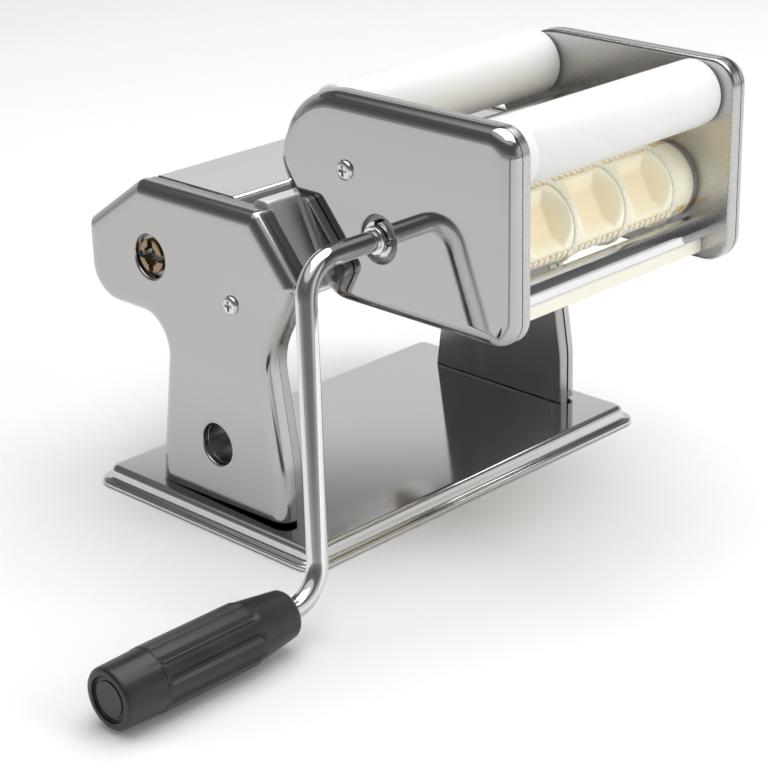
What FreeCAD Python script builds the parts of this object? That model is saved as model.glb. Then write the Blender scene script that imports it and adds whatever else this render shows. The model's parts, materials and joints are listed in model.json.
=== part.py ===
import FreeCAD, Part
import math
import os

from FreeCAD import Vector

os.makedirs("parts", exist_ok=True)

# A hand cranked pasta machine that carries a ravioli attachment.
# +X points to the attachment, +Y away from the crank, +Z up.
# The origin lies under the middle of the base. Sizes are millimetres.

# Base
BASE_X = 131.0
BASE_Y = 200.0
BASE_CORNER = 9.0
PLATEAU_Z = 7.6
PLATEAU_STEP = 3.6
BASE_SHEET = 1.0
BEAD = 2.0
FLOOR_GAP = 0.3
FOOT_R = 6.0
FOOT_PLACE = (50.0, 84.0)
BASE_SCREW_X = (-28.0, 30.0)
BASE_SCREW_Y = 80.0

# Side covers and frames of the machine, as distances from the middle plane
COVER_FACE = 89.0
COVER_RIM = 82.5
COVER_SHEET = 0.8
COVER_EDGE_R = 3.5
FRAME_RIM = 82.0
FRAME_WEB = 77.5
FRAME_SHEET = 1.2
FRAME_INSET = 0.4
COVER_HEM_LEFT = 8.1
COVER_HEM_RIGHT = 10.6

# Outline of a machine side: x, z and corner radius
LOBE_X = -72.5
LOBE_Z = 78.3
TOP_Z = 133.4
SIDE_OUTLINE = (
    (-39.4, TOP_Z, 4.0),
    (27.7, TOP_Z, 4.0),
    (49.3, 108.0, 4.5),
    (32.2, 76.8, 25.0),
    (39.3, 31.0, 40.0),
    (39.3, 0.0, 0.0),
    (-37.1, 0.0, 0.0),
    (-25.4, LOBE_Z, 14.0),
    (LOBE_X, LOBE_Z, 15.0),
    (LOBE_X, 110.8, 5.0),
)

# Holes in a machine side
SOCKET_HOLE_R = 9.0
CLAMP_X = 1.4
CLAMP_Z = 32.6
CLAMP_R = 8.6
CLAMP_DEPTH = 24.0
TOP_SHEET = 0.8
SIDE_SCREW = (14.4, 94.5)
SCREW_R = 1.6
UPPER_RODS = ((9.0, 121.0), (-27.0, 126.0))

# Sheet rollers
ROLLER_R = 11.0
ROLLER_HALF = 75.5
FIXED_X = -33.0
FIXED_Z = 103.5
REST_CENTRES = 24.0
NIP_TRAVEL = 1.8
NIP_TILT = 14.0
JOURNAL_R = 7.0
SOCKET_BORE_R = 4.1
SOCKET_DEPTH = 16.0
NOTCH_DEPTH = 4.0
SHEET_GEAR_TEETH = 12

# Thickness setting
KNOB_R = 13.0
KNOB_TRAVEL = 3.5
KNOB_SWEEP = 320.0
CAM_R = 5.6
CAM_PIN_R = 1.5
SHAFT_R = 3.6

# Slanted guide that carries the attachment: the top of its floor and its slope
GUIDE_X = 24.5
GUIDE_Z = 134.8
GUIDE_ANGLE = 60.8
GUIDE_LENGTH = 39.0
SLOT_LEFT = 7.0
SLOT_RIGHT = 17.5

# Ravioli attachment, as distances from the middle plane
CASE_FACE = 69.0
CASE_RIM = 63.0
CASE_EDGE_R = 5.4
PLATE_RIM = 62.6
PLATE_WEB = 58.0
CASE_OUTLINE = (
    (33.5, 179.7, 30.0),
    (138.5, 179.7, 10.5),
    (138.5, 99.5, 11.5),
    (45.3, 99.5, 14.0),
    (20.0, 150.5, 14.0),
)
CASE_SCREW = (58.5, 152.0)

# Mould rollers
MOULD_X = 74.5
MOULD_Z = 129.0
MOULD_CENTRES = 33.0
MOULD_CREST_R = 16.3
MOULD_DRUM_R = 15.5
MOULD_HALF = 56.0
CELL_PITCH = 29.4
CELLS_LONG = 3
CELLS_ROUND = 3
POCKET_LIP_R = 17.1
POCKET_LIP_LONG = 12.9
POCKET_LIP_WIDE = 25.6
POCKET_BED_R = 8.6
POCKET_BED_HALF = 6.2
RING_WIDTH = 2.4
RING_TEETH = 27
MOULD_GEAR_TEETH = 16
MOULD_TUBE_END = 69.4
MOULD_PHASE = 28.0
MOULD_GEAR_NEAR = 66.2
MOULD_GEAR_FAR = 61.6

# White feed rollers
FEED_R = 13.0
FEED_HALF = 57.6
FEED_Z = 166.0
FEED_REAR_X = 42.0
FEED_FRONT_X = 121.0
AXLE_R = 4.0

# Crank
ROD_R = 4.0
CRANK_OUT = 106.0
CRANK_BEND_R = 16.0
ARM_END = Vector(96.5, -125.9, 12.8)
GRIP_START = 142.8
GRIP_END = 223.4
GRIP_FLUTES = 10

RUN = 0.05
CLEAR = 0.3


# Helpers for outlines that lie in the XZ plane and are pushed along Y

def flat(x, z, y=0.0):
    return Vector(x, y, z)


def rounded_wire(corners, y):
    """A closed wire through straight runs joined by tangent arcs."""
    starts = []
    edges = []
    count = len(corners)
    for i in range(count):
        x, z, radius = corners[i]
        here = flat(x, z, y)
        back = flat(corners[i - 1][0], corners[i - 1][1], y) - here
        ahead = flat(corners[(i + 1) % count][0], corners[(i + 1) % count][1], y) - here
        back.normalize()
        ahead.normalize()
        if radius < 0.01:
            starts.append((here, here, None))
            continue
        half = back.getAngle(ahead) / 2.0
        reach = radius / math.tan(half)
        middle = back + ahead
        middle.normalize()
        depth = radius / math.sin(half) - radius
        starts.append((here + back * reach, here + ahead * reach, here + middle * depth))
    for i in range(count):
        first, last, mid = starts[i]
        if mid is not None:
            edges.append(Part.Arc(first, mid, last).toShape())
        following = starts[(i + 1) % count][0]
        if (following - last).Length > 1e-6:
            edges.append(Part.makeLine(last, following))
    return Part.Wire(Part.__sortEdges__(edges))


def inset(corners, gap):
    """The same outline moved inwards, with its radii kept concentric."""
    count = len(corners)
    area = sum(corners[i - 1][0] * corners[i][1] - corners[i][0] * corners[i - 1][1] for i in range(count))
    turn = 1.0 if area > 0 else -1.0
    moved = []
    for i in range(count):
        x, z, radius = corners[i]
        before = corners[i - 1]
        after = corners[(i + 1) % count]
        a = Vector(x - before[0], z - before[1], 0).normalize()
        b = Vector(after[0] - x, after[1] - z, 0).normalize()
        cross = a.x * b.y - a.y * b.x
        inward_a = Vector(-a.y, a.x, 0) * turn
        inward_b = Vector(-b.y, b.x, 0) * turn
        shift = (inward_a + inward_b) * (gap / (1.0 + inward_a.dot(inward_b)))
        convex = cross * turn > 0
        changed = radius - gap if convex else radius + gap
        moved.append((x + shift.x, z + shift.y, max(changed, 0.3) if radius > 0.01 else 0.0))
    return moved


def prism(corners, y0, y1):
    face = Part.Face(rounded_wire(corners, min(y0, y1)))
    return face.extrude(Vector(0, abs(y1 - y0), 0))


def block(x0, x1, y0, y1, z0, z1):
    low = Vector(min(x0, x1), min(y0, y1), min(z0, z1))
    return Part.makeBox(abs(x1 - x0), abs(y1 - y0), abs(z1 - z0), low)


def drum(x, z, radius, y0, y1):
    return Part.makeCylinder(radius, abs(y1 - y0), Vector(x, min(y0, y1), z), Vector(0, 1, 0))


def ring(x, z, outer, inner, y0, y1):
    return drum(x, z, outer, y0, y1).cut(drum(x, z, inner, min(y0, y1) - 1, max(y0, y1) + 1))


def edges_at(shape, y):
    """Edges that lie in the plane at y."""
    found = []
    for edge in shape.Edges:
        box = edge.BoundBox
        if abs(box.YMin - y) < 1e-4 and abs(box.YMax - y) < 1e-4:
            found.append(edge)
    return found


def mirrored(shape):
    return shape.mirror(Vector(0, 0, 0), Vector(0, 1, 0))


def both_sides(shape):
    return Part.makeCompound([shape, mirrored(shape)])


def pressed_pan(corners, face, rim, sheet, edge_r):
    """A pressed sheet with a flat face, a rounded edge and a skirt up to its rim."""
    toward_rim = 1.0 if rim > face else -1.0
    outer = prism(corners, face, rim)
    outer = outer.makeFillet(edge_r, edges_at(outer, face))
    inner_face = face + toward_rim * sheet
    inner = prism(inset(corners, sheet), inner_face, rim + toward_rim * 2.0)
    inner = inner.makeFillet(edge_r - sheet, edges_at(inner, inner_face))
    return outer.cut(inner)


def dimpled_hole(shape, x, z, radius, face, depth):
    """A round hole whose edge is drawn inwards as a short smooth collar."""
    toward = 1.0 if depth > face else -1.0
    collar = ring(x, z, radius + COVER_SHEET, radius, face, depth)
    outside = [e for e in edges_at(collar, face) if e.Curve.Radius < radius + 0.1]
    collar = collar.makeFillet(COVER_SHEET * 0.9, outside)
    plug = drum(x, z, radius + COVER_SHEET, face - toward, face + toward * COVER_SHEET)
    return shape.cut(plug).fuse(collar).removeSplitter()


def bent_sheet(path, sheet, bend, y0, y1):
    """A folded strip: the path is one side of it, the other lies a sheet to the left."""
    near = []
    far = []
    last = len(path) - 1
    for i in range(last + 1):
        before = Vector(path[max(i, 1)][0] - path[max(i, 1) - 1][0], path[max(i, 1)][1] - path[max(i, 1) - 1][1], 0)
        ahead = min(i, last - 1)
        after = Vector(path[ahead + 1][0] - path[ahead][0], path[ahead + 1][1] - path[ahead][1], 0)
        before.normalize()
        after.normalize()
        left_a = Vector(-before.y, before.x, 0)
        left_b = Vector(-after.y, after.x, 0)
        shift = (left_a + left_b) * (sheet / (1.0 + left_a.dot(left_b)))
        left_turn = before.x * after.y - before.y * after.x > 0
        bent = 0 < i < last
        near_r = (bend + sheet if left_turn else bend) if bent else 0.0
        far_r = (bend if left_turn else bend + sheet) if bent else 0.0
        near.append((path[i][0], path[i][1], near_r))
        far.append((path[i][0] + shift.x, path[i][1] + shift.y, far_r))
    return prism(near + far[::-1], y0, y1)


def toothed_disc(x, z, teeth, tip_r, root_r, tip_share, root_share, y0, y1, phase):
    """A disc whose straight flanked teeth take the given shares of the pitch."""
    pitch = 2.0 * math.pi / teeth
    points = []
    for i in range(teeth):
        middle = phase + i * pitch
        for radius, side in ((root_r, -root_share), (tip_r, -tip_share), (tip_r, tip_share), (root_r, root_share)):
            angle = middle + side * pitch / 2.0
            points.append(flat(x + radius * math.cos(angle), z + radius * math.sin(angle), min(y0, y1)))
    points.append(points[0])
    return Part.Face(Part.makePolygon(points)).extrude(Vector(0, abs(y1 - y0), 0))


def save(name, shape):
    solids = shape.Solids
    result = solids[0] if len(solids) == 1 else Part.makeCompound(solids)
    if not result.isValid():
        raise RuntimeError(name + " is not a valid shape")
    result.exportStep("parts/" + name + ".step")
    print(name, len(solids), round(result.Volume, 1))


# Places that follow from the driving dimensions

tilt = math.radians(NIP_TILT)
nip_x = math.cos(tilt)
nip_z = math.sin(tilt)
moving_x = FIXED_X - REST_CENTRES * nip_x
moving_z = FIXED_Z - REST_CENTRES * nip_z
knob_x = moving_x + NIP_TRAVEL / 2.0 * nip_x
knob_z = moving_z + NIP_TRAVEL / 2.0 * nip_z
driven_x = MOULD_X + MOULD_CENTRES

slope = math.radians(GUIDE_ANGLE)
down_x = math.cos(slope)
down_z = -math.sin(slope)
out_x = math.sin(slope)
out_z = math.cos(slope)


def on_guide(along, out):
    """A point beside the slanted guide: along it downwards, and out from its floor."""
    return (GUIDE_X + down_x * along + out_x * out, GUIDE_Z + down_z * along + out_z * out)


def guide_bar(along0, along1, out0, out1, y0, y1):
    corners = [on_guide(a, o) + (0.0,) for a, o in ((along0, out0), (along1, out0), (along1, out1), (along0, out1))]
    return prism(corners, y0, y1)


def base_plate():
    """A pressed tray turned upside down, with a rolled bead round its edge."""
    def rounded_block(x, y, corner, z0, z1):
        half_x = x / 2.0
        half_y = y / 2.0
        body = Part.makeBox(x, y, z1 - z0, Vector(-half_x, -half_y, z0))
        upright = [e for e in body.Edges if e.BoundBox.ZLength > (z1 - z0) * 0.9]
        return body.makeFillet(corner, upright)

    bead = rounded_block(BASE_X, BASE_Y, BASE_CORNER, FLOOR_GAP, FLOOR_GAP + BEAD)
    round_edges = [e for e in bead.Edges if e.BoundBox.ZLength < 0.01]
    bead = bead.makeFillet(BEAD * 0.45, round_edges)
    step_x = BASE_X - 2.0 * PLATEAU_STEP
    step_y = BASE_Y - 2.0 * PLATEAU_STEP
    tray = rounded_block(step_x, step_y, BASE_CORNER - 1.5, FLOOR_GAP + 0.5, PLATEAU_Z)
    upper = [e for e in tray.Edges if e.BoundBox.ZMin > PLATEAU_Z - 0.01]
    tray = tray.makeFillet(1.8, upper)
    hollow = rounded_block(step_x - 2.0 * BASE_SHEET, step_y - 2.0 * BASE_SHEET, BASE_CORNER - 2.5,
                           -1.0, PLATEAU_Z - BASE_SHEET)
    plate = bead.fuse(tray).cut(hollow)
    for x in BASE_SCREW_X:
        for side in (-1, 1):
            plate = plate.cut(Part.makeCylinder(2.1, 6.0, Vector(x, side * BASE_SCREW_Y, PLATEAU_Z - 3.0)))
    save("base_plate", plate)


def rubber_feet():
    feet = []
    for side_x in (-1, 1):
        for side_y in (-1, 1):
            place = Vector(side_x * FOOT_PLACE[0], side_y * FOOT_PLACE[1], 0)
            feet.append(Part.makeCone(FOOT_R, FOOT_R - 1.0, PLATEAU_Z - BASE_SHEET, place))
    save("rubber_feet", Part.makeCompound(feet))


def base_screws():
    """Four screws that hold the side frames, put in from under the base."""
    screws = []
    low = PLATEAU_Z - BASE_SHEET
    for x in BASE_SCREW_X:
        for side in (-1, 1):
            y = side * BASE_SCREW_Y
            head = Part.makeCylinder(3.6, 1.8, Vector(x, y, low - 1.8))
            shank = Part.makeCylinder(1.9, 3.8, Vector(x, y, low))
            cross = block(x - 2.2, x + 2.2, y - 0.5, y + 0.5, low - 2.0, low - 1.0)
            screws.append(head.fuse(shank).cut(cross))
    save("base_screws", Part.makeCompound(screws))


def hem_cutter():
    """Everything below the slanted bottom edge of a side cover."""
    left = -60.0
    right = 60.0
    run = 39.3 + 36.0
    rise = (COVER_HEM_RIGHT - COVER_HEM_LEFT) / run
    z_left = COVER_HEM_LEFT + rise * (left + 36.0)
    z_right = COVER_HEM_LEFT + rise * (right + 36.0)
    corners = ((left, z_left, 0.0), (right, z_right, 0.0), (right, -20.0, 0.0), (left, -20.0, 0.0))
    return prism(corners, -120.0, 120.0)


def side_cover(side):
    """The polished shell over one end of the machine."""
    face = side * COVER_FACE
    shell = pressed_pan(SIDE_OUTLINE, face, side * COVER_RIM, COVER_SHEET, COVER_EDGE_R)
    shell = shell.cut(hem_cutter())
    inner_depth = face - side * 3.0
    if side < 0:
        shell = dimpled_hole(shell, CLAMP_X, CLAMP_Z, CLAMP_R, face, inner_depth)
        shell = dimpled_hole(shell, FIXED_X, FIXED_Z, SOCKET_HOLE_R, face, inner_depth)
    else:
        shell = shell.cut(drum(knob_x, knob_z, 7.0, face - 3.0, face + 3.0))
    shell = shell.cut(drum(SIDE_SCREW[0], SIDE_SCREW[1], 2.2, face - 3.0, face + 3.0))
    return shell


def side_frame(side):
    """The bent steel plate that carries the bearings, open towards its cover."""
    outline = list(SIDE_OUTLINE)
    outline[5] = (39.3, PLATEAU_Z - FRAME_INSET, 0.0)
    left_foot = -37.1 + (PLATEAU_Z - FRAME_INSET) * (37.1 - 25.4) / LOBE_Z
    outline[6] = (left_foot, PLATEAU_Z - FRAME_INSET, 0.0)
    web = side * FRAME_WEB
    frame = prism(inset(outline, FRAME_INSET), web, side * FRAME_RIM)
    hollow = prism(inset(outline, FRAME_INSET + FRAME_SHEET), web + side * FRAME_SHEET, side * (FRAME_RIM + 2.0))
    frame = frame.cut(hollow)
    frame = frame.cut(drum(FIXED_X, FIXED_Z, 9.05, web - 4.0, web + 4.0))
    frame = frame.cut(slide_slot(10.0 + RUN, web - 4.0, web + 4.0))
    if side < 0:
        frame = frame.cut(drum(CLAMP_X, CLAMP_Z, CLAMP_R + 1.6, web - 4.0, web + 4.0))
    frame = frame.cut(drum(SIDE_SCREW[0], SIDE_SCREW[1], 2.6, web - 4.0, web + 4.0))
    for x, z in UPPER_RODS:
        frame = frame.cut(drum(x, z, 2.1, web - 4.0, web + 4.0))
    for x in BASE_SCREW_X:
        frame = frame.cut(Part.makeCylinder(1.9, 4.0, Vector(x, side * BASE_SCREW_Y, PLATEAU_Z - 1.0)))
    return frame


def slide_slot(radius, y0, y1):
    """The long hole that a bearing block slides in."""
    end_x = moving_x + NIP_TRAVEL * nip_x
    end_z = moving_z + NIP_TRAVEL * nip_z
    side_x = -nip_z * radius
    side_z = nip_x * radius
    corners = (
        (moving_x + side_x, moving_z + side_z, 0.0),
        (end_x + side_x, end_z + side_z, 0.0),
        (end_x - side_x, end_z - side_z, 0.0),
        (moving_x - side_x, moving_z - side_z, 0.0),
    )
    hole = prism(corners, y0, y1)
    hole = hole.fuse(drum(moving_x, moving_z, radius, y0, y1))
    return hole.fuse(drum(end_x, end_z, radius, y0, y1))


def clamp_sockets():
    """The cup behind the round hole in the near foot, for the pin of a table clamp."""
    start = -COVER_FACE + 3.2
    end = start + CLAMP_DEPTH
    cup = ring(CLAMP_X, CLAMP_Z, CLAMP_R + 1.5, CLAMP_R, start, end)
    floor = drum(CLAMP_X, CLAMP_Z, CLAMP_R + 1.5, end, end + 1.5)
    save("clamp_sockets", cup.fuse(floor))


def tie_rods():
    """Spacer rods that hold the two frames apart, threaded at their ends."""
    x, z = SIDE_SCREW
    end = COVER_FACE - 5.0
    bore = drum(x, z, SCREW_R, end - 8.0, end + 1.0)
    rod = drum(x, z, 4.5, -FRAME_WEB, FRAME_WEB).fuse(drum(x, z, 2.5, -end, end))
    rods = [rod.cut(bore).cut(mirrored(bore))]
    end = FRAME_WEB + FRAME_SHEET + 3.0
    for x, z in UPPER_RODS:
        rod = drum(x, z, 3.5, -FRAME_WEB, FRAME_WEB)
        rods.append(rod.fuse(drum(x, z, 2.0, -end, end)))
    save("tie_rods", Part.makeCompound(rods))


def tie_rod_nuts():
    nuts = []
    start = FRAME_WEB + FRAME_SHEET
    for x, z in UPPER_RODS:
        hexagon = [(x + 3.6 * math.cos(k * math.pi / 3), z + 3.6 * math.sin(k * math.pi / 3), 0.0) for k in range(6)]
        nut = prism(hexagon, start, start + 2.4).cut(drum(x, z, 2.0, start - 1, start + 4))
        nuts.append(nut)
        nuts.append(mirrored(nut))
    save("tie_rod_nuts", Part.makeCompound(nuts))


def cross_screw(x, z, face, reach, head_r):
    """A pan head screw with a cross recess, its head outside the face."""
    toward = -1.0 if face > 0 else 1.0
    top = face - toward * 1.6
    head = drum(x, z, head_r, face, top)
    head = head.makeFillet(1.1, edges_at(head, top))
    shank = drum(x, z, SCREW_R, face, face + toward * reach)
    recess = block(x - 0.5, x + 0.5, top, top + toward * 1.2, z - 2.0, z + 2.0)
    recess = recess.fuse(block(x - 2.0, x + 2.0, top, top + toward * 1.2, z - 0.5, z + 0.5))
    return head.fuse(shank).cut(recess)


def cover_screws():
    screw = cross_screw(SIDE_SCREW[0], SIDE_SCREW[1], -COVER_FACE, 8.0, 3.9)
    save("cover_screws", both_sides(screw))


def top_plate():
    """The bright sheet on top, bent down over the rollers at its left edge."""
    path = ((SLOT_LEFT, TOP_Z - 5.0), (SLOT_LEFT, TOP_Z), (-38.6, TOP_Z), (-41.6, 119.0))
    save("top_plate", bent_sheet(path, TOP_SHEET, 1.0, -FRAME_WEB, FRAME_WEB))


def guide_panel():
    """The slanted sheet that the attachment lies against, with a lip at each end."""
    top = on_guide(0.0, 0.0)
    bottom = on_guide(GUIDE_LENGTH, 0.0)
    path = (
        (bottom[0] - 7.0, bottom[1] - 2.0),
        (bottom[0], bottom[1]),
        (top[0], top[1]),
        (SLOT_RIGHT, top[1]),
        (SLOT_RIGHT, top[1] - 5.0),
    )
    panel = bent_sheet(path, FRAME_SHEET, 1.0, -FRAME_WEB, FRAME_WEB)
    lip = guide_bar(3.0, GUIDE_LENGTH - 5.0, -0.5, 2.2, -FRAME_WEB, -FRAME_WEB + 1.0)
    save("guide_panel", panel.fuse(lip).fuse(mirrored(lip)).removeSplitter())


def guide_channels():
    """Two channels on the slanted panel in which the hooks of the attachment run."""
    outer = guide_bar(3.0, 27.0, 0.0, 3.2, -56.0, -42.0)
    inner = guide_bar(2.0, 25.8, 0.7, 2.5, -54.8, -43.2)
    mouth = guide_bar(2.0, 25.8, 0.7, 4.0, -52.2, -45.8)
    save("guide_channels", both_sides(outer.cut(inner).cut(mouth)))


def roller_bushes():
    """Flanged bushes of the fixed roller."""
    web = FRAME_WEB
    bush = ring(FIXED_X, FIXED_Z, 9.0, JOURNAL_R + RUN, web - 0.2, web + FRAME_SHEET)
    flange = ring(FIXED_X, FIXED_Z, 10.0, JOURNAL_R + RUN, web + FRAME_SHEET, web + FRAME_SHEET + 0.9)
    save("roller_bushes", both_sides(bush.fuse(flange)))


def crank_notches(x, z, mouth, depth):
    """Two crossed slots in the mouth of a drive tube."""
    toward = 1.0 if mouth < 0 else -1.0
    end = mouth + toward * depth
    slots = block(x - 1.5, x + 1.5, mouth - toward, end, z - 9.0, z + 9.0)
    return slots.fuse(block(x - 9.0, x + 9.0, mouth - toward, end, z - 1.5, z + 1.5))


def fixed_roller():
    """The smooth roller with the crank socket in its near end."""
    body = drum(FIXED_X, FIXED_Z, ROLLER_R, -ROLLER_HALF, ROLLER_HALF)
    body = body.makeFillet(0.6, edges_at(body, -ROLLER_HALF) + edges_at(body, ROLLER_HALF))
    mouth = -COVER_FACE + 0.6
    shaft = drum(FIXED_X, FIXED_Z, JOURNAL_R, mouth, 80.4)
    socket = drum(FIXED_X, FIXED_Z, SOCKET_BORE_R, mouth - 1.0, mouth + SOCKET_DEPTH)
    roller = body.fuse(shaft).cut(socket).cut(crank_notches(FIXED_X, FIXED_Z, mouth, NOTCH_DEPTH))
    save("fixed_roller", roller)


def sheet_gear(x, z, bore, phase):
    closest = REST_CENTRES - NIP_TRAVEL
    tip = closest / 2.0 + 1.85
    root = closest / 2.0 - 2.5
    gear = toothed_disc(x, z, SHEET_GEAR_TEETH, tip, root, 0.20, 0.56, -85.6, -80.2, phase)
    return gear.cut(drum(x, z, bore, -90.0, -70.0))


def sheet_gears():
    half_tooth = math.pi / SHEET_GEAR_TEETH
    towards_fixed = math.atan2(nip_z, nip_x)
    save("fixed_roller_gear", sheet_gear(FIXED_X, FIXED_Z, JOURNAL_R, towards_fixed + math.pi))
    save("moving_roller_gear", sheet_gear(moving_x, moving_z, JOURNAL_R, towards_fixed + half_tooth))


def moving_roller():
    body = drum(moving_x, moving_z, ROLLER_R, -ROLLER_HALF, ROLLER_HALF)
    body = body.makeFillet(0.6, edges_at(body, -ROLLER_HALF) + edges_at(body, ROLLER_HALF))
    shaft = drum(moving_x, moving_z, JOURNAL_R, -86.6, FRAME_WEB + FRAME_SHEET)
    save("moving_roller", body.fuse(shaft))


def bearing_blocks():
    """Blocks that slide in the frames and carry the moving roller, with ears for its cradle bar."""
    web = FRAME_WEB
    bore = drum(moving_x, moving_z, JOURNAL_R + RUN, 70.0, 90.0)
    hub = drum(moving_x, moving_z, 10.0, web - 0.5, web + FRAME_SHEET + 0.2)
    outer = drum(moving_x, moving_z, 10.9, web + FRAME_SHEET + 0.2, web + FRAME_SHEET + 1.2)
    inner = drum(moving_x, moving_z, 11.0, web - 1.7, web - 0.2)
    ear_x, ear_z = cradle_bar_place()
    reach = math.atan2(ear_z - moving_z, ear_x - moving_x)
    across = Vector(-math.sin(reach), 0, math.cos(reach)) * 3.0
    start = flat(moving_x, moving_z)
    end = flat(ear_x, ear_z)
    corners = [(p.x, p.z, 0.0) for p in (start + across, end + across, end - across, start - across)]
    ear = prism(corners, web - 1.7, web - 0.2).fuse(drum(ear_x, ear_z, 3.0, web - 1.7, web - 0.2))
    blank = hub.fuse(inner).fuse(ear).cut(bore)
    near = mirrored(blank.fuse(outer.cut(bore)))
    pin_out = CAM_R + CAM_PIN_R + 0.1 + NIP_TRAVEL / 2.0
    pin_x = moving_x + pin_out * nip_x
    pin_z = moving_z + pin_out * nip_z
    pin = drum(pin_x, pin_z, CAM_PIN_R, web + FRAME_SHEET + 0.2, web + FRAME_SHEET + 3.6)
    far = blank.fuse(outer.cut(bore)).fuse(pin)
    save("bearing_blocks", Part.makeCompound([near, far]))


def cradle_bar_place():
    angle = math.radians(250.0)
    return (moving_x + 15.0 * math.cos(angle), moving_z + 15.0 * math.sin(angle))


def cradle_bar():
    """The bar that joins the bearing blocks, with the scraper blade of the moving roller."""
    x, z = cradle_bar_place()
    bar = drum(x, z, 2.0, -FRAME_WEB + 1.7, FRAME_WEB - 1.7)
    angle = math.radians(262.0)
    tip_x = moving_x + (ROLLER_R + 0.4) * math.cos(angle)
    tip_z = moving_z + (ROLLER_R + 0.4) * math.sin(angle)
    corners = ((x - 0.6, z, 0.0), (x + 0.9, z - 0.4, 0.0), (tip_x + 0.9, tip_z - 0.1, 0.0), (tip_x, tip_z, 0.0))
    blade = prism(corners, -ROLLER_HALF + 1.0, ROLLER_HALF - 1.0)
    save("cradle_bar", bar.fuse(blade))


def fixed_scraper():
    """A thin blade under the fixed roller, folded along its lower edge."""
    angle = math.radians(282.0)
    tip_x = FIXED_X + (ROLLER_R + 0.5) * math.cos(angle)
    tip_z = FIXED_Z + (ROLLER_R + 0.5) * math.sin(angle)
    corners = (
        (tip_x, tip_z, 0.0),
        (tip_x + 4.0, tip_z - 6.0, 0.0),
        (tip_x + 12.0, tip_z - 6.0, 0.0),
        (tip_x + 12.0, tip_z - 7.0, 0.0),
        (tip_x + 3.4, tip_z - 7.0, 0.0),
        (tip_x - 0.9, tip_z - 0.3, 0.0),
    )
    save("fixed_scraper", prism(corners, -FRAME_WEB, FRAME_WEB))


def adjuster():
    """The short shaft of the thickness setting, with the cam that moves the bearing blocks."""
    cam_y0 = FRAME_WEB + FRAME_SHEET + 1.4
    cam_y1 = cam_y0 + 2.2
    steps = 40
    points = []
    for i in range(steps + 1):
        share = i / steps
        turned = math.radians(KNOB_SWEEP) * share
        angle = math.atan2(nip_z, nip_x) + turned
        radius = CAM_R + NIP_TRAVEL * share
        points.append(flat(knob_x + radius * math.cos(angle), knob_z + radius * math.sin(angle), cam_y0))
    spiral = Part.BSplineCurve()
    spiral.interpolate(points)
    closing = Part.makeLine(points[-1], points[0])
    cam = Part.Face(Part.Wire([spiral.toShape(), closing])).extrude(Vector(0, cam_y1 - cam_y0, 0))
    shaft = drum(knob_x, knob_z, SHAFT_R, cam_y0, 105.0)
    washer = drum(knob_x, knob_z, 6.5, 103.6, 105.0)
    save("adjuster_shaft", cam.fuse(shaft).fuse(washer))


def adjuster_bearing():
    """A bridge on the far frame that carries the short shaft."""
    y0 = FRAME_WEB + FRAME_SHEET
    plate = block(knob_x - 15.5, knob_x + 12.0, 83.4, 84.6, knob_z - 4.5, knob_z + 4.5)
    hub = drum(knob_x, knob_z, 6.4, 83.4, COVER_FACE)
    leg = block(knob_x - 15.5, knob_x - 14.0, y0, 83.4, knob_z - 4.5, knob_z + 4.5)
    bridge = plate.fuse(hub).fuse(leg)
    save("adjuster_bearing", bridge.cut(drum(knob_x, knob_z, SHAFT_R + RUN, 80.0, 95.0)))


def dial_plate():
    """The fixed dial under the knob, with a shallow dimple at each setting."""
    plate = ring(knob_x, knob_z, 15.8, 6.5, COVER_FACE, COVER_FACE + 1.2)
    for step in range(9):
        angle = math.radians(step * KNOB_SWEEP / 8.0)
        place = flat(knob_x + 10.0 * math.cos(angle), knob_z + 10.0 * math.sin(angle), COVER_FACE + 0.6)
        plate = plate.cut(Part.makeCylinder(1.3, 2.0, place, Vector(0, 1, 0)))
    save("dial_plate", plate)


def adjuster_knob():
    """The pull and turn knob, ribbed round its rim and hollow for its spring."""
    y0 = COVER_FACE + 1.6
    y1 = 107.5
    body = drum(knob_x, knob_z, KNOB_R, y0, y1)
    body = body.makeFillet(1.4, edges_at(body, y1))
    for k in range(18):
        angle = 2.0 * math.pi * k / 18
        groove = drum(knob_x + (KNOB_R + 0.6) * math.cos(angle), knob_z + (KNOB_R + 0.6) * math.sin(angle),
                      1.3, y0 + 4.0, y1 + 1.0)
        body = body.cut(groove)
    cavity = drum(knob_x, knob_z, 7.2, y0 + 3.0, y1 + 1.0)
    body = body.cut(cavity).cut(drum(knob_x, knob_z, SHAFT_R + RUN, y0 - 1.0, y0 + 4.0))
    pin = drum(knob_x + 10.0, knob_z, 0.9, y0 - 0.3, y0 + 0.5)
    save("adjuster_knob", body.fuse(pin))
    lid = drum(knob_x, knob_z, 7.2, y1 - 1.2, y1)
    save("knob_cap", lid)


def coil(x, z, mean_r, wire_r, y0, y1, turns):
    """A round wire spring along Y."""
    pitch = (y1 - y0 - 2.0 * wire_r) / turns
    helix = Part.makeHelix(pitch, pitch * turns, mean_r)
    profile = Part.Wire(Part.makeCircle(wire_r, Vector(mean_r, 0, 0), Vector(0, 1, 0)))
    spring = Part.Wire(helix.Edges).makePipeShell([profile], True, True)
    spring.rotate(Vector(0, 0, 0), Vector(1, 0, 0), -90)
    spring.translate(Vector(x, y0 + wire_r, z))
    return spring


def knob_spring():
    save("knob_spring", coil(knob_x, knob_z, 5.2, 0.5, 98.2, 103.5, 3))


def attachment_case(side):
    face = side * CASE_FACE
    shell = pressed_pan(CASE_OUTLINE, face, side * CASE_RIM, COVER_SHEET, CASE_EDGE_R)
    if side < 0:
        shell = dimpled_hole(shell, MOULD_X, MOULD_Z, 8.8, face, face - side * 2.2)
    return shell.cut(drum(CASE_SCREW[0], CASE_SCREW[1], 2.2, face - 3.0, face + 3.0))


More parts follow.
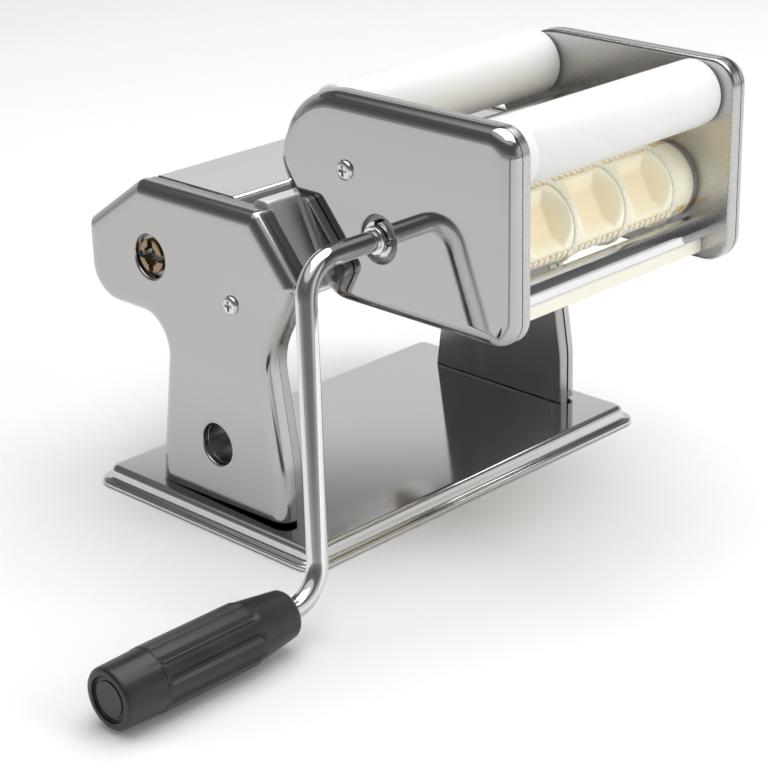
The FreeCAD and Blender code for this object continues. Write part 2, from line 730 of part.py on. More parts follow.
def attachment_plate(side):
    """The inner plate of the attachment, flanged towards its cover."""
    web = side * PLATE_WEB
    plate = prism(CASE_OUTLINE, web, side * PLATE_RIM)
    plate = plate.makeFillet(1.0, edges_at(plate, web))
    hollow = prism(inset(CASE_OUTLINE, FRAME_SHEET), web + side * FRAME_SHEET, side * (PLATE_RIM + 2.0))
    plate = plate.cut(hollow)
    for x in (MOULD_X, driven_x):
        plate = plate.cut(drum(x, MOULD_Z, 9.0, web - 4.0, web + 4.0))
    for x in (FEED_REAR_X, FEED_FRONT_X):
        plate = plate.cut(drum(x, FEED_Z, 3.0, web - 4.0, web + 4.0))
    return plate.cut(drum(CASE_SCREW[0], CASE_SCREW[1], 2.2, web - 4.0, web + 4.0))


def mould_bushes():
    """White flanged bushes between the mould rollers and the plates."""
    bushes = []
    for x in (MOULD_X, driven_x):
        flange = ring(x, MOULD_Z, 14.2, JOURNAL_R + RUN, MOULD_HALF + 0.2, PLATE_WEB)
        sleeve = ring(x, MOULD_Z, 9.0, JOURNAL_R + RUN, PLATE_WEB, PLATE_WEB + FRAME_SHEET)
        bush = flange.fuse(sleeve)
        bushes.append(bush)
        bushes.append(mirrored(bush))
    save("mould_bushes", Part.makeCompound(bushes))


def pocket(radial_turn, y):
    """A square recess with sloping walls, cut towards the axis at the given turn from +X to +Z."""
    def rectangle(height, along, across):
        points = [Vector(height, y - along, -across), Vector(height, y + along, -across),
                  Vector(height, y + along, across), Vector(height, y - along, across)]
        points.append(points[0])
        return Part.makePolygon(points)

    lip = rectangle(POCKET_LIP_R, POCKET_LIP_LONG, POCKET_LIP_WIDE)
    bed = rectangle(POCKET_BED_R, POCKET_BED_HALF, POCKET_BED_HALF)
    cut = Part.makeLoft([lip, bed], True, True)
    cut.rotate(Vector(0, 0, 0), Vector(0, 1, 0), -math.degrees(radial_turn))
    return cut


def mould_roller(x, phase):
    """A moulding roller: square pockets between toothed rings and toothed ridges."""
    half_cells = CELLS_LONG * CELL_PITCH / 2.0
    body = drum(0, 0, MOULD_DRUM_R, -MOULD_HALF, MOULD_HALF)
    body = body.makeFillet(1.0, edges_at(body, -MOULD_HALF) + edges_at(body, MOULD_HALF))
    for row in range(CELLS_LONG):
        y = -half_cells + CELL_PITCH * (row + 0.5)
        for k in range(CELLS_ROUND):
            body = body.cut(pocket(phase + k * 2.0 * math.pi / CELLS_ROUND, y))
    raised = []
    for row in range(CELLS_LONG + 1):
        y = -half_cells + CELL_PITCH * row
        raised.append(toothed_disc(0, 0, RING_TEETH, MOULD_CREST_R, MOULD_DRUM_R - 0.3, 0.34, 0.62,
                                   y - RING_WIDTH / 2.0, y + RING_WIDTH / 2.0, phase))
    for k in range(CELLS_ROUND):
        turn = phase + (k + 0.5) * 2.0 * math.pi / CELLS_ROUND
        for row in range(CELLS_LONG):
            raised.append(toothed_ridge(-half_cells + CELL_PITCH * row, turn))
    roller = body.multiFuse(raised)
    roller.translate(Vector(x, 0, MOULD_Z))
    return roller


def toothed_ridge(start, turn):
    """A notched bar along the roller between two rings, at the given turn from +X to +Z."""
    teeth = 8
    run = CELL_PITCH - RING_WIDTH + 0.2
    pitch = run / teeth
    begin = start + RING_WIDTH / 2.0 - 0.1
    low = MOULD_DRUM_R - 0.8
    foot = MOULD_DRUM_R
    points = [Vector(low, begin, -1.2)]
    for i in range(teeth):
        y = begin + i * pitch
        points.append(Vector(foot, y, -1.2))
        points.append(Vector(MOULD_CREST_R, y + pitch * 0.2, -1.2))
        points.append(Vector(MOULD_CREST_R, y + pitch * 0.6, -1.2))
        points.append(Vector(foot, y + pitch * 0.8, -1.2))
    points.append(Vector(foot, begin + run, -1.2))
    points.append(Vector(low, begin + run, -1.2))
    points.append(points[0])
    bar = Part.Face(Part.makePolygon(points)).extrude(Vector(0, 0, 2.4))
    bar.rotate(Vector(0, 0, 0), Vector(0, 1, 0), -math.degrees(turn))
    return bar


def mould_rollers():
    phase = math.radians(MOULD_PHASE)
    drive = mould_roller(MOULD_X, math.pi - phase)
    tube = drum(MOULD_X, MOULD_Z, JOURNAL_R, -MOULD_TUBE_END, 61.5)
    bore = drum(MOULD_X, MOULD_Z, SOCKET_BORE_R, -MOULD_TUBE_END - 1.0, -MOULD_TUBE_END + SOCKET_DEPTH)
    drive = drive.fuse(tube).cut(bore).cut(crank_notches(MOULD_X, MOULD_Z, -MOULD_TUBE_END, NOTCH_DEPTH))
    save("drive_mould_roller", drive)
    driven = mould_roller(driven_x, phase)
    save("driven_mould_roller", driven.fuse(drum(driven_x, MOULD_Z, JOURNAL_R, -67.2, 61.5)))


def mould_gear(x, phase):
    pitch_r = MOULD_CENTRES / 2.0
    gear = toothed_disc(x, MOULD_Z, MOULD_GEAR_TEETH, pitch_r + 1.7, pitch_r - 2.3, 0.19, 0.70,
                        -MOULD_GEAR_NEAR, -MOULD_GEAR_FAR, phase)
    return gear.cut(drum(x, MOULD_Z, JOURNAL_R, -80.0, -50.0))


def mould_gears():
    save("drive_mould_gear", mould_gear(MOULD_X, 0.0))
    save("driven_mould_gear", mould_gear(driven_x, math.pi / MOULD_GEAR_TEETH))


def feed_rollers():
    """The two smooth white rollers on top, turning on steel axles."""
    for name, x in (("rear_feed_roller", FEED_REAR_X), ("front_feed_roller", FEED_FRONT_X)):
        roller = drum(x, FEED_Z, FEED_R, -FEED_HALF, FEED_HALF)
        roller = roller.makeFillet(2.0, edges_at(roller, -FEED_HALF) + edges_at(roller, FEED_HALF))
        save(name, roller.cut(drum(x, FEED_Z, AXLE_R + RUN, -60.0, 60.0)))


def feed_axles():
    axles = []
    for x in (FEED_REAR_X, FEED_FRONT_X):
        rod = drum(x, FEED_Z, AXLE_R, -PLATE_WEB, PLATE_WEB)
        rod = rod.fuse(drum(x, FEED_Z, 3.0, -PLATE_WEB - 1.2, PLATE_WEB + 1.2))
        axles.append(rod.fuse(drum(x, FEED_Z, 2.4, -PLATE_WEB - 2.6, PLATE_WEB + 2.6)))
    save("feed_axles", Part.makeCompound(axles))


def attachment_rods():
    """Threaded spacer rods behind the cover screws."""
    rod = drum(CASE_SCREW[0], CASE_SCREW[1], 3.5, -PLATE_WEB, PLATE_WEB)
    rod = rod.fuse(drum(CASE_SCREW[0], CASE_SCREW[1], 2.2, -66.0, 66.0))
    for side in (-1, 1):
        rod = rod.cut(drum(CASE_SCREW[0], CASE_SCREW[1], SCREW_R, side * PLATE_WEB, side * 67.0))
    save("attachment_rod", rod)


def attachment_screws():
    screw = cross_screw(CASE_SCREW[0], CASE_SCREW[1], -CASE_FACE, 7.0, 3.9)
    save("attachment_screws", both_sides(screw))


def comb(name, x_root, x_tip, z_root, z_tip, notch):
    """A moulded stripper bar whose fingers lie close under a mould roller."""
    sign = 1.0 if x_root > x_tip else -1.0
    corners = (
        (x_root, z_root, 0.0),
        (x_tip, z_tip, 0.0),
        (x_tip, z_tip - 1.4, 0.0),
        (x_root, z_root - 2.2, 0.0),
    )
    strip = prism(corners, -PLATE_WEB, PLATE_WEB)
    half_cells = CELLS_LONG * CELL_PITCH / 2.0
    for row in range(CELLS_LONG + 1):
        y = -half_cells + CELL_PITCH * row
        gap = block(x_tip - sign, x_tip + sign * notch, y - 2.4, y + 2.4, z_root - 8.0, z_tip + 8.0)
        strip = strip.cut(gap)
    save(name, strip)


def attachment_bars():
    """Bars under the mould rollers: a bright folded strip and a cream outlet bar."""
    front = (
        (126.6, 116.0, 0.6),
        (126.6, 108.6, 0.6),
        (119.5, 108.6, 0.0),
        (119.5, 109.6, 0.0),
        (125.6, 109.6, 0.3),
        (125.6, 115.0, 0.3),
        (122.0, 115.0, 0.0),
        (122.0, 116.0, 0.0),
    )
    save("front_strip", prism(front, -PLATE_WEB, PLATE_WEB))
    outlet = ((126.0, 108.4, 0.8), (126.0, 102.4, 1.2), (117.0, 102.4, 1.2), (117.0, 108.4, 0.8))
    save("outlet_bar", prism(outlet, -PLATE_WEB, PLATE_WEB))


def hook_plate():
    """The cross plate of the attachment, with the two hooks that run in the channels."""
    plate = guide_bar(-4.0, 25.5, 4.2, 5.4, -PLATE_WEB, PLATE_WEB)
    hooks = []
    for side in (-1, 1):
        neck = guide_bar(7.0, 25.5, 2.2, 4.2, side * 46.4, side * 51.6)
        head = guide_bar(7.0, 25.5, 1.0, 2.2, side * 43.8, side * 54.2)
        hooks.append(neck.fuse(head))
    save("hook_plate", plate.multiFuse(hooks).removeSplitter())


def crank():
    """A bent rod: into the drive tube, out, down the arm and out again through the grip."""
    start = Vector(MOULD_X, -MOULD_TUBE_END + 12.0, MOULD_Z)
    first = Vector(MOULD_X, -CRANK_OUT, MOULD_Z)
    end = Vector(ARM_END.x, -GRIP_END + 9.0, ARM_END.z)
    route = [start, first, ARM_END, end]
    edges = []
    last = start
    for i in (1, 2):
        back = (route[i - 1] - route[i]).normalize()
        ahead = (route[i + 1] - route[i]).normalize()
        half = back.getAngle(ahead) / 2.0
        reach = CRANK_BEND_R / math.tan(half)
        middle = (back + ahead).normalize()
        into = route[i] + back * reach
        out = route[i] + ahead * reach
        crown = route[i] + middle * (CRANK_BEND_R / math.sin(half) - CRANK_BEND_R)
        edges.append(Part.makeLine(last, into))
        edges.append(Part.Arc(into, crown, out).toShape())
        last = out
    edges.append(Part.makeLine(last, end))
    path = Part.Wire(edges)
    profile = Part.Wire(Part.makeCircle(ROD_R, start, Vector(0, 1, 0)))
    rod = path.makePipeShell([profile], True, False)
    pin = Part.makeCylinder(1.3, 12.0, Vector(MOULD_X, -MOULD_TUBE_END + 2.0, MOULD_Z - 6.0), Vector(0, 0, 1))
    collar = drum(MOULD_X, MOULD_Z, ROD_R + 1.4, -MOULD_TUBE_END - 0.5, -MOULD_TUBE_END - 2.5)
    save("crank_rod", rod.fuse(pin).fuse(collar))
    washer = drum(ARM_END.x, ARM_END.z, 6.2, -GRIP_END + 9.0, -GRIP_END + 7.6)
    save("grip_retainer", washer)


def crank_grip():
    """The black grip: a cone, a fluted middle and a plain collar, bored for the rod."""
    x = ARM_END.x
    z = ARM_END.z
    near = -GRIP_START
    far = -GRIP_END
    stations = (
        (near, 0.0),
        (near, 8.4),
        (near - 0.9, 9.3),
        (near - 21.0, 11.7),
        (near - 21.0, 12.1),
        (near - 63.0, 12.2),
        (near - 63.4, 11.8),
        (far + 1.2, 11.4),
        (far, 10.4),
        (far, 0.0),
    )
    points = [Vector(x + radius, y, z) for y, radius in stations]
    points.append(points[0])
    grip = Part.Face(Part.makePolygon(points)).revolve(Vector(x, 0, z), Vector(0, 1, 0), 360)
    for k in range(GRIP_FLUTES):
        angle = 2.0 * math.pi * (k + 0.5) / GRIP_FLUTES
        flute = drum(x + 13.6 * math.cos(angle), z + 13.6 * math.sin(angle), 2.5, near - 22.5, near - 61.5)
        grip = grip.cut(flute)
    grip = grip.cut(drum(x, z, ROD_R + RUN, near + 1.0, far - 1.0))
    grip = grip.cut(drum(x, z, 8.4, far - 1.0, far + 9.2))
    save("crank_grip", grip)
    cap = drum(x, z, 8.4, far + 0.6, far + 3.0)
    groove = ring(x, z, 7.9, 6.9, far - 1.0, far + 1.6)
    save("grip_cap", cap.cut(groove))


def build():
    base_plate()
    rubber_feet()
    base_screws()
    save("crank_side_cover", side_cover(-1))
    save("knob_side_cover", side_cover(1))
    save("crank_side_frame", side_frame(-1))
    save("knob_side_frame", side_frame(1))
    clamp_sockets()
    tie_rods()
    tie_rod_nuts()
    cover_screws()
    top_plate()
    guide_panel()
    guide_channels()
    roller_bushes()
    fixed_roller()
    sheet_gears()
    moving_roller()
    bearing_blocks()
    cradle_bar()
    fixed_scraper()
    adjuster()
    adjuster_bearing()
    dial_plate()
    adjuster_knob()
    knob_spring()
    save("attachment_crank_cover", attachment_case(-1))
    save("attachment_far_cover", attachment_case(1))
    save("attachment_crank_plate", attachment_plate(-1))
    save("attachment_far_plate", attachment_plate(1))
    mould_bushes()
    mould_rollers()
    mould_gears()
    feed_rollers()
    feed_axles()
    attachment_rods()
    attachment_screws()
    comb("front_comb", 122.0, 116.6, 114.9, 112.6, 3.0)
    comb("rear_comb", 58.0, 65.0, 112.6, 112.0, 3.0)
    attachment_bars()
    hook_plate()
    crank()
    crank_grip()


build()
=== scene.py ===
"""A hand cranked pasta machine with a ravioli attachment, dressed for a studio picture.

Sizes are written in millimetres in the machine's own frame: +X points to the attachment,
+Y away from the crank and +Z up. Meshes are scaled to metres when they are made.
"""

import json
import logging
import math
from dataclasses import dataclass
from enum import Enum
from typing import Callable, Optional, Sequence

import bmesh
import bpy
from mathutils import Matrix, Quaternion, Vector

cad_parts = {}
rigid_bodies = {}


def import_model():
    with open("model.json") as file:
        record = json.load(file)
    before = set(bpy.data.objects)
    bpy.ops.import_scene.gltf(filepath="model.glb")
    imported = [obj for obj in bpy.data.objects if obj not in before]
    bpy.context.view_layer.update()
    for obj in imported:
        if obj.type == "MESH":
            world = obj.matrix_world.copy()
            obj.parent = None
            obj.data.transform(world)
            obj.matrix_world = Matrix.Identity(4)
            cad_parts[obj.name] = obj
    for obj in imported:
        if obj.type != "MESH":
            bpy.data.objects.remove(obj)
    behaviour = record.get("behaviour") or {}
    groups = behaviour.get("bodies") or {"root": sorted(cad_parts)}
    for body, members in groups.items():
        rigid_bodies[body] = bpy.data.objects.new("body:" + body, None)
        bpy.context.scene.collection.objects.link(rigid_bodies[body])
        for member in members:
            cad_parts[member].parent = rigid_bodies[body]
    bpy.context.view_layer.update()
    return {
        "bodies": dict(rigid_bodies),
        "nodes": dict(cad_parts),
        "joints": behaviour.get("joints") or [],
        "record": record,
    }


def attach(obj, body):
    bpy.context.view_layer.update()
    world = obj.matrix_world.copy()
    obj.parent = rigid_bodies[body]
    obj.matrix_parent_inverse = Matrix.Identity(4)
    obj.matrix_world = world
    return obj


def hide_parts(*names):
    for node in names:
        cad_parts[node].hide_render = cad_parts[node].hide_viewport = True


LOG = logging.getLogger("ravioli_maker")
MM = 0.001
# Edges that bend by more degrees than this stay sharp, where a piece has no angle of its own.
SHARP = 38.0
# Bevel of a turned end, in millimetres.
BEVEL = 0.2
Pair = tuple[float, float]
Point = tuple[float, float, float]
Tone = tuple[float, float, float]
Face = tuple[int, ...]
Piece = bpy.types.Object
Socket = bpy.types.NodeSocket


# Outlines and meshes


@dataclass(frozen=True)
class Corner:
    """A corner of an outline in the XZ plane, with its bend radius."""

    x: float
    z: float
    radius: float = 0.0


@dataclass(frozen=True)
class Hole:
    """A round hole whose edge is drawn inwards as a smooth collar."""

    x: float
    z: float
    radius: float
    lip: float
    depth: float


def inset_corners(corners: Sequence[Corner], gap: float) -> list[Corner]:
    """Move an outline inwards and keep its bends concentric.

    Args:
        corners: The outline.
        gap: How far to move it in.

    Returns:
        The moved corners.
    """
    count = len(corners)
    area = sum(corners[i - 1].x * corners[i].z - corners[i].x * corners[i - 1].z for i in range(count))
    turn = 1.0 if area > 0 else -1.0
    moved: list[Corner] = []
    for i, corner in enumerate(corners):
        before = corners[i - 1]
        after = corners[(i + 1) % count]
        a = Vector((corner.x - before.x, corner.z - before.z)).normalized()
        b = Vector((after.x - corner.x, after.z - corner.z)).normalized()
        convex = (a.x * b.y - a.y * b.x) * turn > 0
        in_a = Vector((-a.y, a.x)) * turn
        in_b = Vector((-b.y, b.x)) * turn
        shift = (in_a + in_b) * (gap / (1.0 + in_a.dot(in_b)))
        radius = max(corner.radius + (-gap if convex else gap), 0.05) if corner.radius > 0 else 0.0
        moved.append(Corner(corner.x + shift.x, corner.z + shift.y, radius))
    return moved


def outline_points(corners: Sequence[Corner], steps: int) -> list[Pair]:
    """Walk round an outline, dividing each bend alike.

    Args:
        corners: The outline.
        steps: Pieces that each bend is divided into.

    Returns:
        The points as x and z.
    """
    points: list[Pair] = []
    count = len(corners)
    for i, corner in enumerate(corners):
        here = Vector((corner.x, corner.z))
        if corner.radius <= 0:
            points.append((here.x, here.y))
            continue
        before = corners[i - 1]
        after = corners[(i + 1) % count]
        back = (Vector((before.x, before.z)) - here).normalized()
        ahead = (Vector((after.x, after.z)) - here).normalized()
        half = back.angle(ahead) / 2.0
        centre = here + (back + ahead).normalized() * (corner.radius / math.sin(half))
        start = here + back * (corner.radius / math.tan(half)) - centre
        end = here + ahead * (corner.radius / math.tan(half)) - centre
        sweep = math.atan2(start.x * end.y - start.y * end.x, start.dot(end))
        for k in range(steps + 1):
            angle = sweep * k / steps
            x = start.x * math.cos(angle) - start.y * math.sin(angle)
            z = start.x * math.sin(angle) + start.y * math.cos(angle)
            points.append((centre.x + x, centre.y + z))
    return points


def wrap_faces(rings: int, count: int) -> list[Face]:
    """Faces between closed rings of points that follow one another.

    Args:
        rings: Number of rings.
        count: Points in each ring.

    Returns:
        The faces, ring by ring.
    """
    faces: list[Face] = []
    for low in range(0, (rings - 1) * count, count):
        for k in range(count):
            following = (k + 1) % count
            faces.append((low + k, low + following, low + count + following, low + count + k))
    return faces


def bridge_rings(bm: bmesh.types.BMesh, rings: Sequence[Sequence[Point]]) -> list[list[bmesh.types.BMVert]]:
    """Add closed rings of points to a mesh, with faces between them.

    Args:
        bm: The mesh.
        rings: Rings with the same number of points.

    Returns:
        The new points of each ring.
    """
    made = [[bm.verts.new(point) for point in ring] for ring in rings]
    count = len(made[0])
    for low, high in zip(made, made[1:]):
        for k in range(count):
            following = (k + 1) % count
            bm.faces.new((low[k], low[following], high[following], high[k]))
    return made


def ring_edges(bm: bmesh.types.BMesh, ring: Sequence[bmesh.types.BMVert]) -> list[bmesh.types.BMEdge]:
    """The edges of a closed ring of points."""
    return [bm.edges.get((ring[k], ring[(k + 1) % len(ring)])) for k in range(len(ring))]


def add_object(name: str, data: bpy.types.ID) -> Piece:
    """Put a mesh, a light or a camera into the scene.

    Args:
        name: Name of the object.
        data: Its mesh, light, camera or text.

    Returns:
        The new object.
    """
    made = bpy.data.objects.new(name, data)
    bpy.context.scene.collection.objects.link(made)
    return made


def new_piece(name: str, vertices: Sequence[Point], faces: Sequence[Face], sharp: float = SHARP) -> Piece:
    """Make a smooth shaded object from points in millimetres.

    Args:
        name: Name of the piece.
        vertices: Points in millimetres.
        faces: Corner numbers of each face.
        sharp: Angle in degrees above which an edge stays sharp.

    Returns:
        The new object, with its normals outwards.
    """
    mesh = bpy.data.meshes.new(name)
    mesh.from_pydata([(x * MM, y * MM, z * MM) for x, y, z in vertices], [], list(faces))
    bm = bmesh.new()
    bm.from_mesh(mesh)
    bmesh.ops.remove_doubles(bm, verts=bm.verts, dist=1e-7)
    bmesh.ops.recalc_face_normals(bm, faces=bm.faces)
    bm.to_mesh(mesh)
    bm.free()
    piece = add_object(name, mesh)
    shade(piece, sharp)
    return piece


def shade(piece: Piece, sharp: float) -> None:
    """Shade a piece smooth, with edges above an angle in degrees kept sharp."""
    piece.data.shade_smooth()
    piece.data.set_sharp_from_angle(angle=math.radians(sharp))


def bake(piece: Piece, sharp: float = SHARP) -> Piece:
    """Turn a piece's modifiers into its mesh.

    Args:
        piece: The piece with modifiers.
        sharp: Angle in degrees above which an edge stays sharp.

    Returns:
        The same piece, with no modifier left.
    """
    bpy.context.view_layer.update()
    graph = bpy.context.evaluated_depsgraph_get()
    mesh = bpy.data.meshes.new_from_object(piece.evaluated_get(graph), depsgraph=graph)
    piece.modifiers.clear()
    old = piece.data
    piece.data = mesh
    mesh.name = piece.name
    bpy.data.meshes.remove(old)
    shade(piece, sharp)
    return piece


def join_meshes(name: str, parts: Sequence[Piece]) -> Piece:
    """Put several meshes into the first, under a new name.

    Args:
        name: Name of the joined piece.
        parts: The objects to join, all at the origin.

    Returns:
        The joined piece.
    """
    bm = bmesh.new()
    for part in parts:
        bm.from_mesh(part.data)
    joined = parts[0]
    bm.to_mesh(joined.data)
    bm.free()
    for part in parts[1:]:
        bpy.data.objects.remove(part)
    joined.name = name
    joined.data.name = name
    return joined


def lathe(name: str, profile: Sequence[Pair], x: float, z: float, segments: int = 96,
          radius_at: Optional[Callable[[float, float, float], float]] = None) -> Piece:
    """Turn a profile round an axis along Y.

    Args:
        name: Name of the piece.
        profile: Places along Y with their radii, from one end to the other.
        x: Where the axis is.
        z: Where the axis is.
        segments: Steps round the axis.
        radius_at: Changes a radius, given the place along Y, the angle and the radius.

    Returns:
        The closed piece.
    """
    vertices: list[Point] = []
    for y, radius in profile:
        for k in range(segments):
            angle = 2.0 * math.pi * k / segments
            here = radius_at(y, angle, radius) if radius_at else radius
            vertices.append((x + here * math.cos(angle), y, z + here * math.sin(angle)))
    faces = wrap_faces(len(profile), segments)
    last = (len(profile) - 1) * segments
    if profile[0][1] > 0:
        faces.append(tuple(range(segments)))
    if profile[-1][1] > 0:
        faces.append(tuple(range(last, last + segments)))
    return new_piece(name, vertices, faces)


def rounded_end(y: float, radius: float, bend: float, outward: float, steps: int = 5) -> list[Pair]:
    """Profile points of a rounded edge, from the flat end to the side.

    Args:
        y: Where the flat end is.
        radius: Radius of the side.
        bend: Radius of the rounding.
        outward: 1 where the end faces +Y, -1 where it faces -Y.
        steps: Pieces of the rounding.

    Returns:
        Places along Y with their radii.
    """
    points: list[Pair] = []
    for k in range(steps + 1):
        angle = math.radians(90.0 * k / steps)
        points.append((y - outward * bend * (1.0 - math.cos(angle)), radius - bend + bend * math.sin(angle)))
    return points


def cylinder_profile(y0: float, y1: float, radius: float, bend: float) -> list[Pair]:
    """Profile of a solid cylinder along Y with rounded ends.

    Args:
        y0: The lower end.
        y1: The upper end.
        radius: Its radius.
        bend: Radius of the rounded edges.

    Returns:
        Places along Y with their radii.
    """
    near = rounded_end(y0, radius, bend, -1.0)
    far = rounded_end(y1, radius, bend, 1.0)
    return [(y0, 0.0)] + near + far[::-1] + [(y1, 0.0)]


def tube_along(name: str, route: Sequence[Vector], radius: float, sides: int = 40) -> Piece:
    """Sweep a circle along a route.

    Args:
        name: Name of the piece.
        route: Points of the middle line.
        radius: Radius of the rod.
        sides: Sides of the circle.

    Returns:
        The closed rod.
    """
    vertices: list[Point] = []
    tangent = (route[1] - route[0]).normalized()
    across = tangent.orthogonal().normalized()
    for i, point in enumerate(route):
        ahead = route[min(i + 1, len(route) - 1)] - route[max(i - 1, 0)]
        turned = tangent.rotation_difference(ahead.normalized())
        across = (turned @ across).normalized()
        tangent = ahead.normalized()
        up = tangent.cross(across)
        for k in range(sides):
            angle = 2.0 * math.pi * k / sides
            spot = point + (across * math.cos(angle) + up * math.sin(angle)) * radius
            vertices.append(tuple(spot))
    faces = wrap_faces(len(route), sides)
    faces.append(tuple(range(sides)))
    last = (len(route) - 1) * sides
    faces.append(tuple(range(last, last + sides)))
    return new_piece(name, vertices, faces)


def bent_route(points: Sequence[Vector], bend: float, steps: int = 14) -> list[Vector]:
    """Round the inner corners of a route with tangent arcs.

    Args:
        points: The corners of the route.
        bend: Radius of each arc.
        steps: Pieces of each arc.

    Returns:
        The points of the rounded route.
    """
    route: list[Vector] = [points[0]]
    for i in range(1, len(points) - 1):
        back = (points[i - 1] - points[i]).normalized()
        ahead = (points[i + 1] - points[i]).normalized()
        half = back.angle(ahead) / 2.0
        centre = points[i] + (back + ahead).normalized() * (bend / math.sin(half))
        start = points[i] + back * (bend / math.tan(half)) - centre
        end = points[i] + ahead * (bend / math.tan(half)) - centre
        axis = start.cross(end)
        for k in range(steps + 1):
            route.append(centre + Quaternion(axis, start.angle(end) * k / steps) @ start)
    route.append(points[-1])
    return route


# Finishes

# Values between which most of a noise lies.
NOISE_LOW = 0.3
NOISE_HIGH = 0.7
# Waves per metre of the broad cloudiness, the fine rubbing marks and the mottling of plastic.
BROAD_WAVES = 28.0
FINE_WAVES = 2600.0
MOTTLE_WAVES = 60.0
# Share of steel's tone in its darker clouds.
SHADED = 0.94
# How far red, green and blue light goes into plastic, as shares of the farthest.
LIGHT_REACH: Tone = (1.0, 0.7, 0.35)


class Grain(Enum):
    """Direction in which a surface was rubbed or drawn."""

    ALONG_X = (0.05, 1.0, 1.0)
    ALONG_Y = (1.0, 0.05, 1.0)
    ALONG_Z = (1.0, 1.0, 0.05)
    NONE = (1.0, 1.0, 1.0)


class Shader:
    """A material under construction, with short calls to add and link its nodes."""

    def __init__(self, name: str) -> None:
        """Start a material with one Principled shader.

        Args:
            name: Name of the material.
        """
        self.material = bpy.data.materials.new(name)
        self.material.use_nodes = True
        self.tree = self.material.node_tree
        self.surface = self.tree.nodes["Principled BSDF"]
        self.where = self.tree.nodes.new("ShaderNodeTexCoord").outputs["Object"]

    def set(self, **values: object) -> None:
        """Set sockets of the Principled shader by name, with underscores for spaces."""
        for key, value in values.items():
            self.surface.inputs[key.replace("_", " ")].default_value = value

    def noise(self, scale: Sequence[float], detail: float = 4.0, roughness: float = 0.55) -> Socket:
        """Noise on the object's own coordinates.

        Args:
            scale: Waves per metre along X, Y and Z.
            detail: Finer octaves.
            roughness: Weight of the finer octaves.

        Returns:
            The noise value.
        """
        mapping = self.tree.nodes.new("ShaderNodeMapping")
        mapping.inputs["Scale"].default_value = tuple(scale)
        texture = self.tree.nodes.new("ShaderNodeTexNoise")
        texture.inputs["Scale"].default_value = 1.0
        texture.inputs["Detail"].default_value = detail
        texture.inputs["Roughness"].default_value = roughness
        self.tree.links.new(self.where, mapping.inputs["Vector"])
        self.tree.links.new(mapping.outputs["Vector"], texture.inputs["Vector"])
        return texture.outputs["Fac"]

    def spread(self, value: Socket, low: float, high: float) -> Socket:
        """Map a noise value to a range.

        Args:
            value: The noise.
            low: Result at the noise's usual low.
            high: Result at its usual high.

        Returns:
            The mapped value.
        """
        ramp = self.tree.nodes.new("ShaderNodeMapRange")
        ramp.inputs["From Min"].default_value = NOISE_LOW
        ramp.inputs["From Max"].default_value = NOISE_HIGH
        ramp.inputs["To Min"].default_value = low
        ramp.inputs["To Max"].default_value = high
        self.tree.links.new(value, ramp.inputs["Value"])
        return ramp.outputs["Result"]

    def tint(self, value: Socket, dark: Sequence[float], light: Sequence[float]) -> None:
        """Colour the surface between two tones.

        Args:
            value: Where each tone goes.
            dark: Tone at the low end.
            light: Tone at the high end.
        """
        ramp = self.tree.nodes.new("ShaderNodeValToRGB")
        ramp.color_ramp.elements[0].position = NOISE_LOW
        ramp.color_ramp.elements[1].position = NOISE_HIGH
        ramp.color_ramp.elements[0].color = (*dark, 1.0)
        ramp.color_ramp.elements[1].color = (*light, 1.0)
        self.tree.links.new(value, ramp.inputs["Fac"])
        self.tree.links.new(ramp.outputs["Color"], self.surface.inputs["Base Color"])

    def bump(self, value: Socket, height: float, strength: float) -> None:
        """Raise the surface by a pattern.

        Args:
            value: The pattern.
            height: Its height in metres.
            strength: Share of it that shows.
        """
        node = self.tree.nodes.new("ShaderNodeBump")
        node.inputs["Distance"].default_value = height
        node.inputs["Strength"].default_value = strength
        self.tree.links.new(value, node.inputs["Height"])
        self.tree.links.new(node.outputs["Normal"], self.surface.inputs["Normal"])

    def link(self, value: Socket, socket: str) -> None:
        """Link a value to a socket of the Principled shader."""
        self.tree.links.new(value, self.surface.inputs[socket])

    def feed(self, value: object, socket: Socket) -> None:
        """Link a socket to another, or set a plain value on it.

        Args:
            value: A number, a colour or a socket.
            socket: The socket that gets it.
        """
        if isinstance(value, Socket):
            self.tree.links.new(value, socket)
        else:
            socket.default_value = value

    def maths(self, operation: str, first: object, second: object = 0.0) -> Socket:
        """A Math node on two values or sockets.

        Args:
            operation: Name of the operation.
            first: A number or a socket.
            second: A number or a socket.

        Returns:
            The result.
        """
        node = self.tree.nodes.new("ShaderNodeMath")
        node.operation = operation
        self.feed(first, node.inputs[0])
        self.feed(second, node.inputs[1])
        return node.outputs[0]

    def kept(self, name: str) -> Socket:
        """Read a number that is kept on the piece's points.

        Args:
            name: The name it is kept under.

        Returns:
            The number.
        """
        node = self.tree.nodes.new("ShaderNodeAttribute")
        node.attribute_name = name
        return node.outputs["Fac"]

    def blend(self, share: Socket, first: object, second: object) -> Socket:
        """Mix two colours.

        Args:
            share: Share of the second.
            first: A colour or a socket.
            second: A colour or a socket.

        Returns:
            The mixed colour.
        """
        node = self.tree.nodes.new("ShaderNodeMix")
        node.data_type = "RGBA"
        self.feed(share, node.inputs["Factor"])
        self.feed(first, node.inputs[6])
        self.feed(second, node.inputs[7])
        return node.outputs[2]


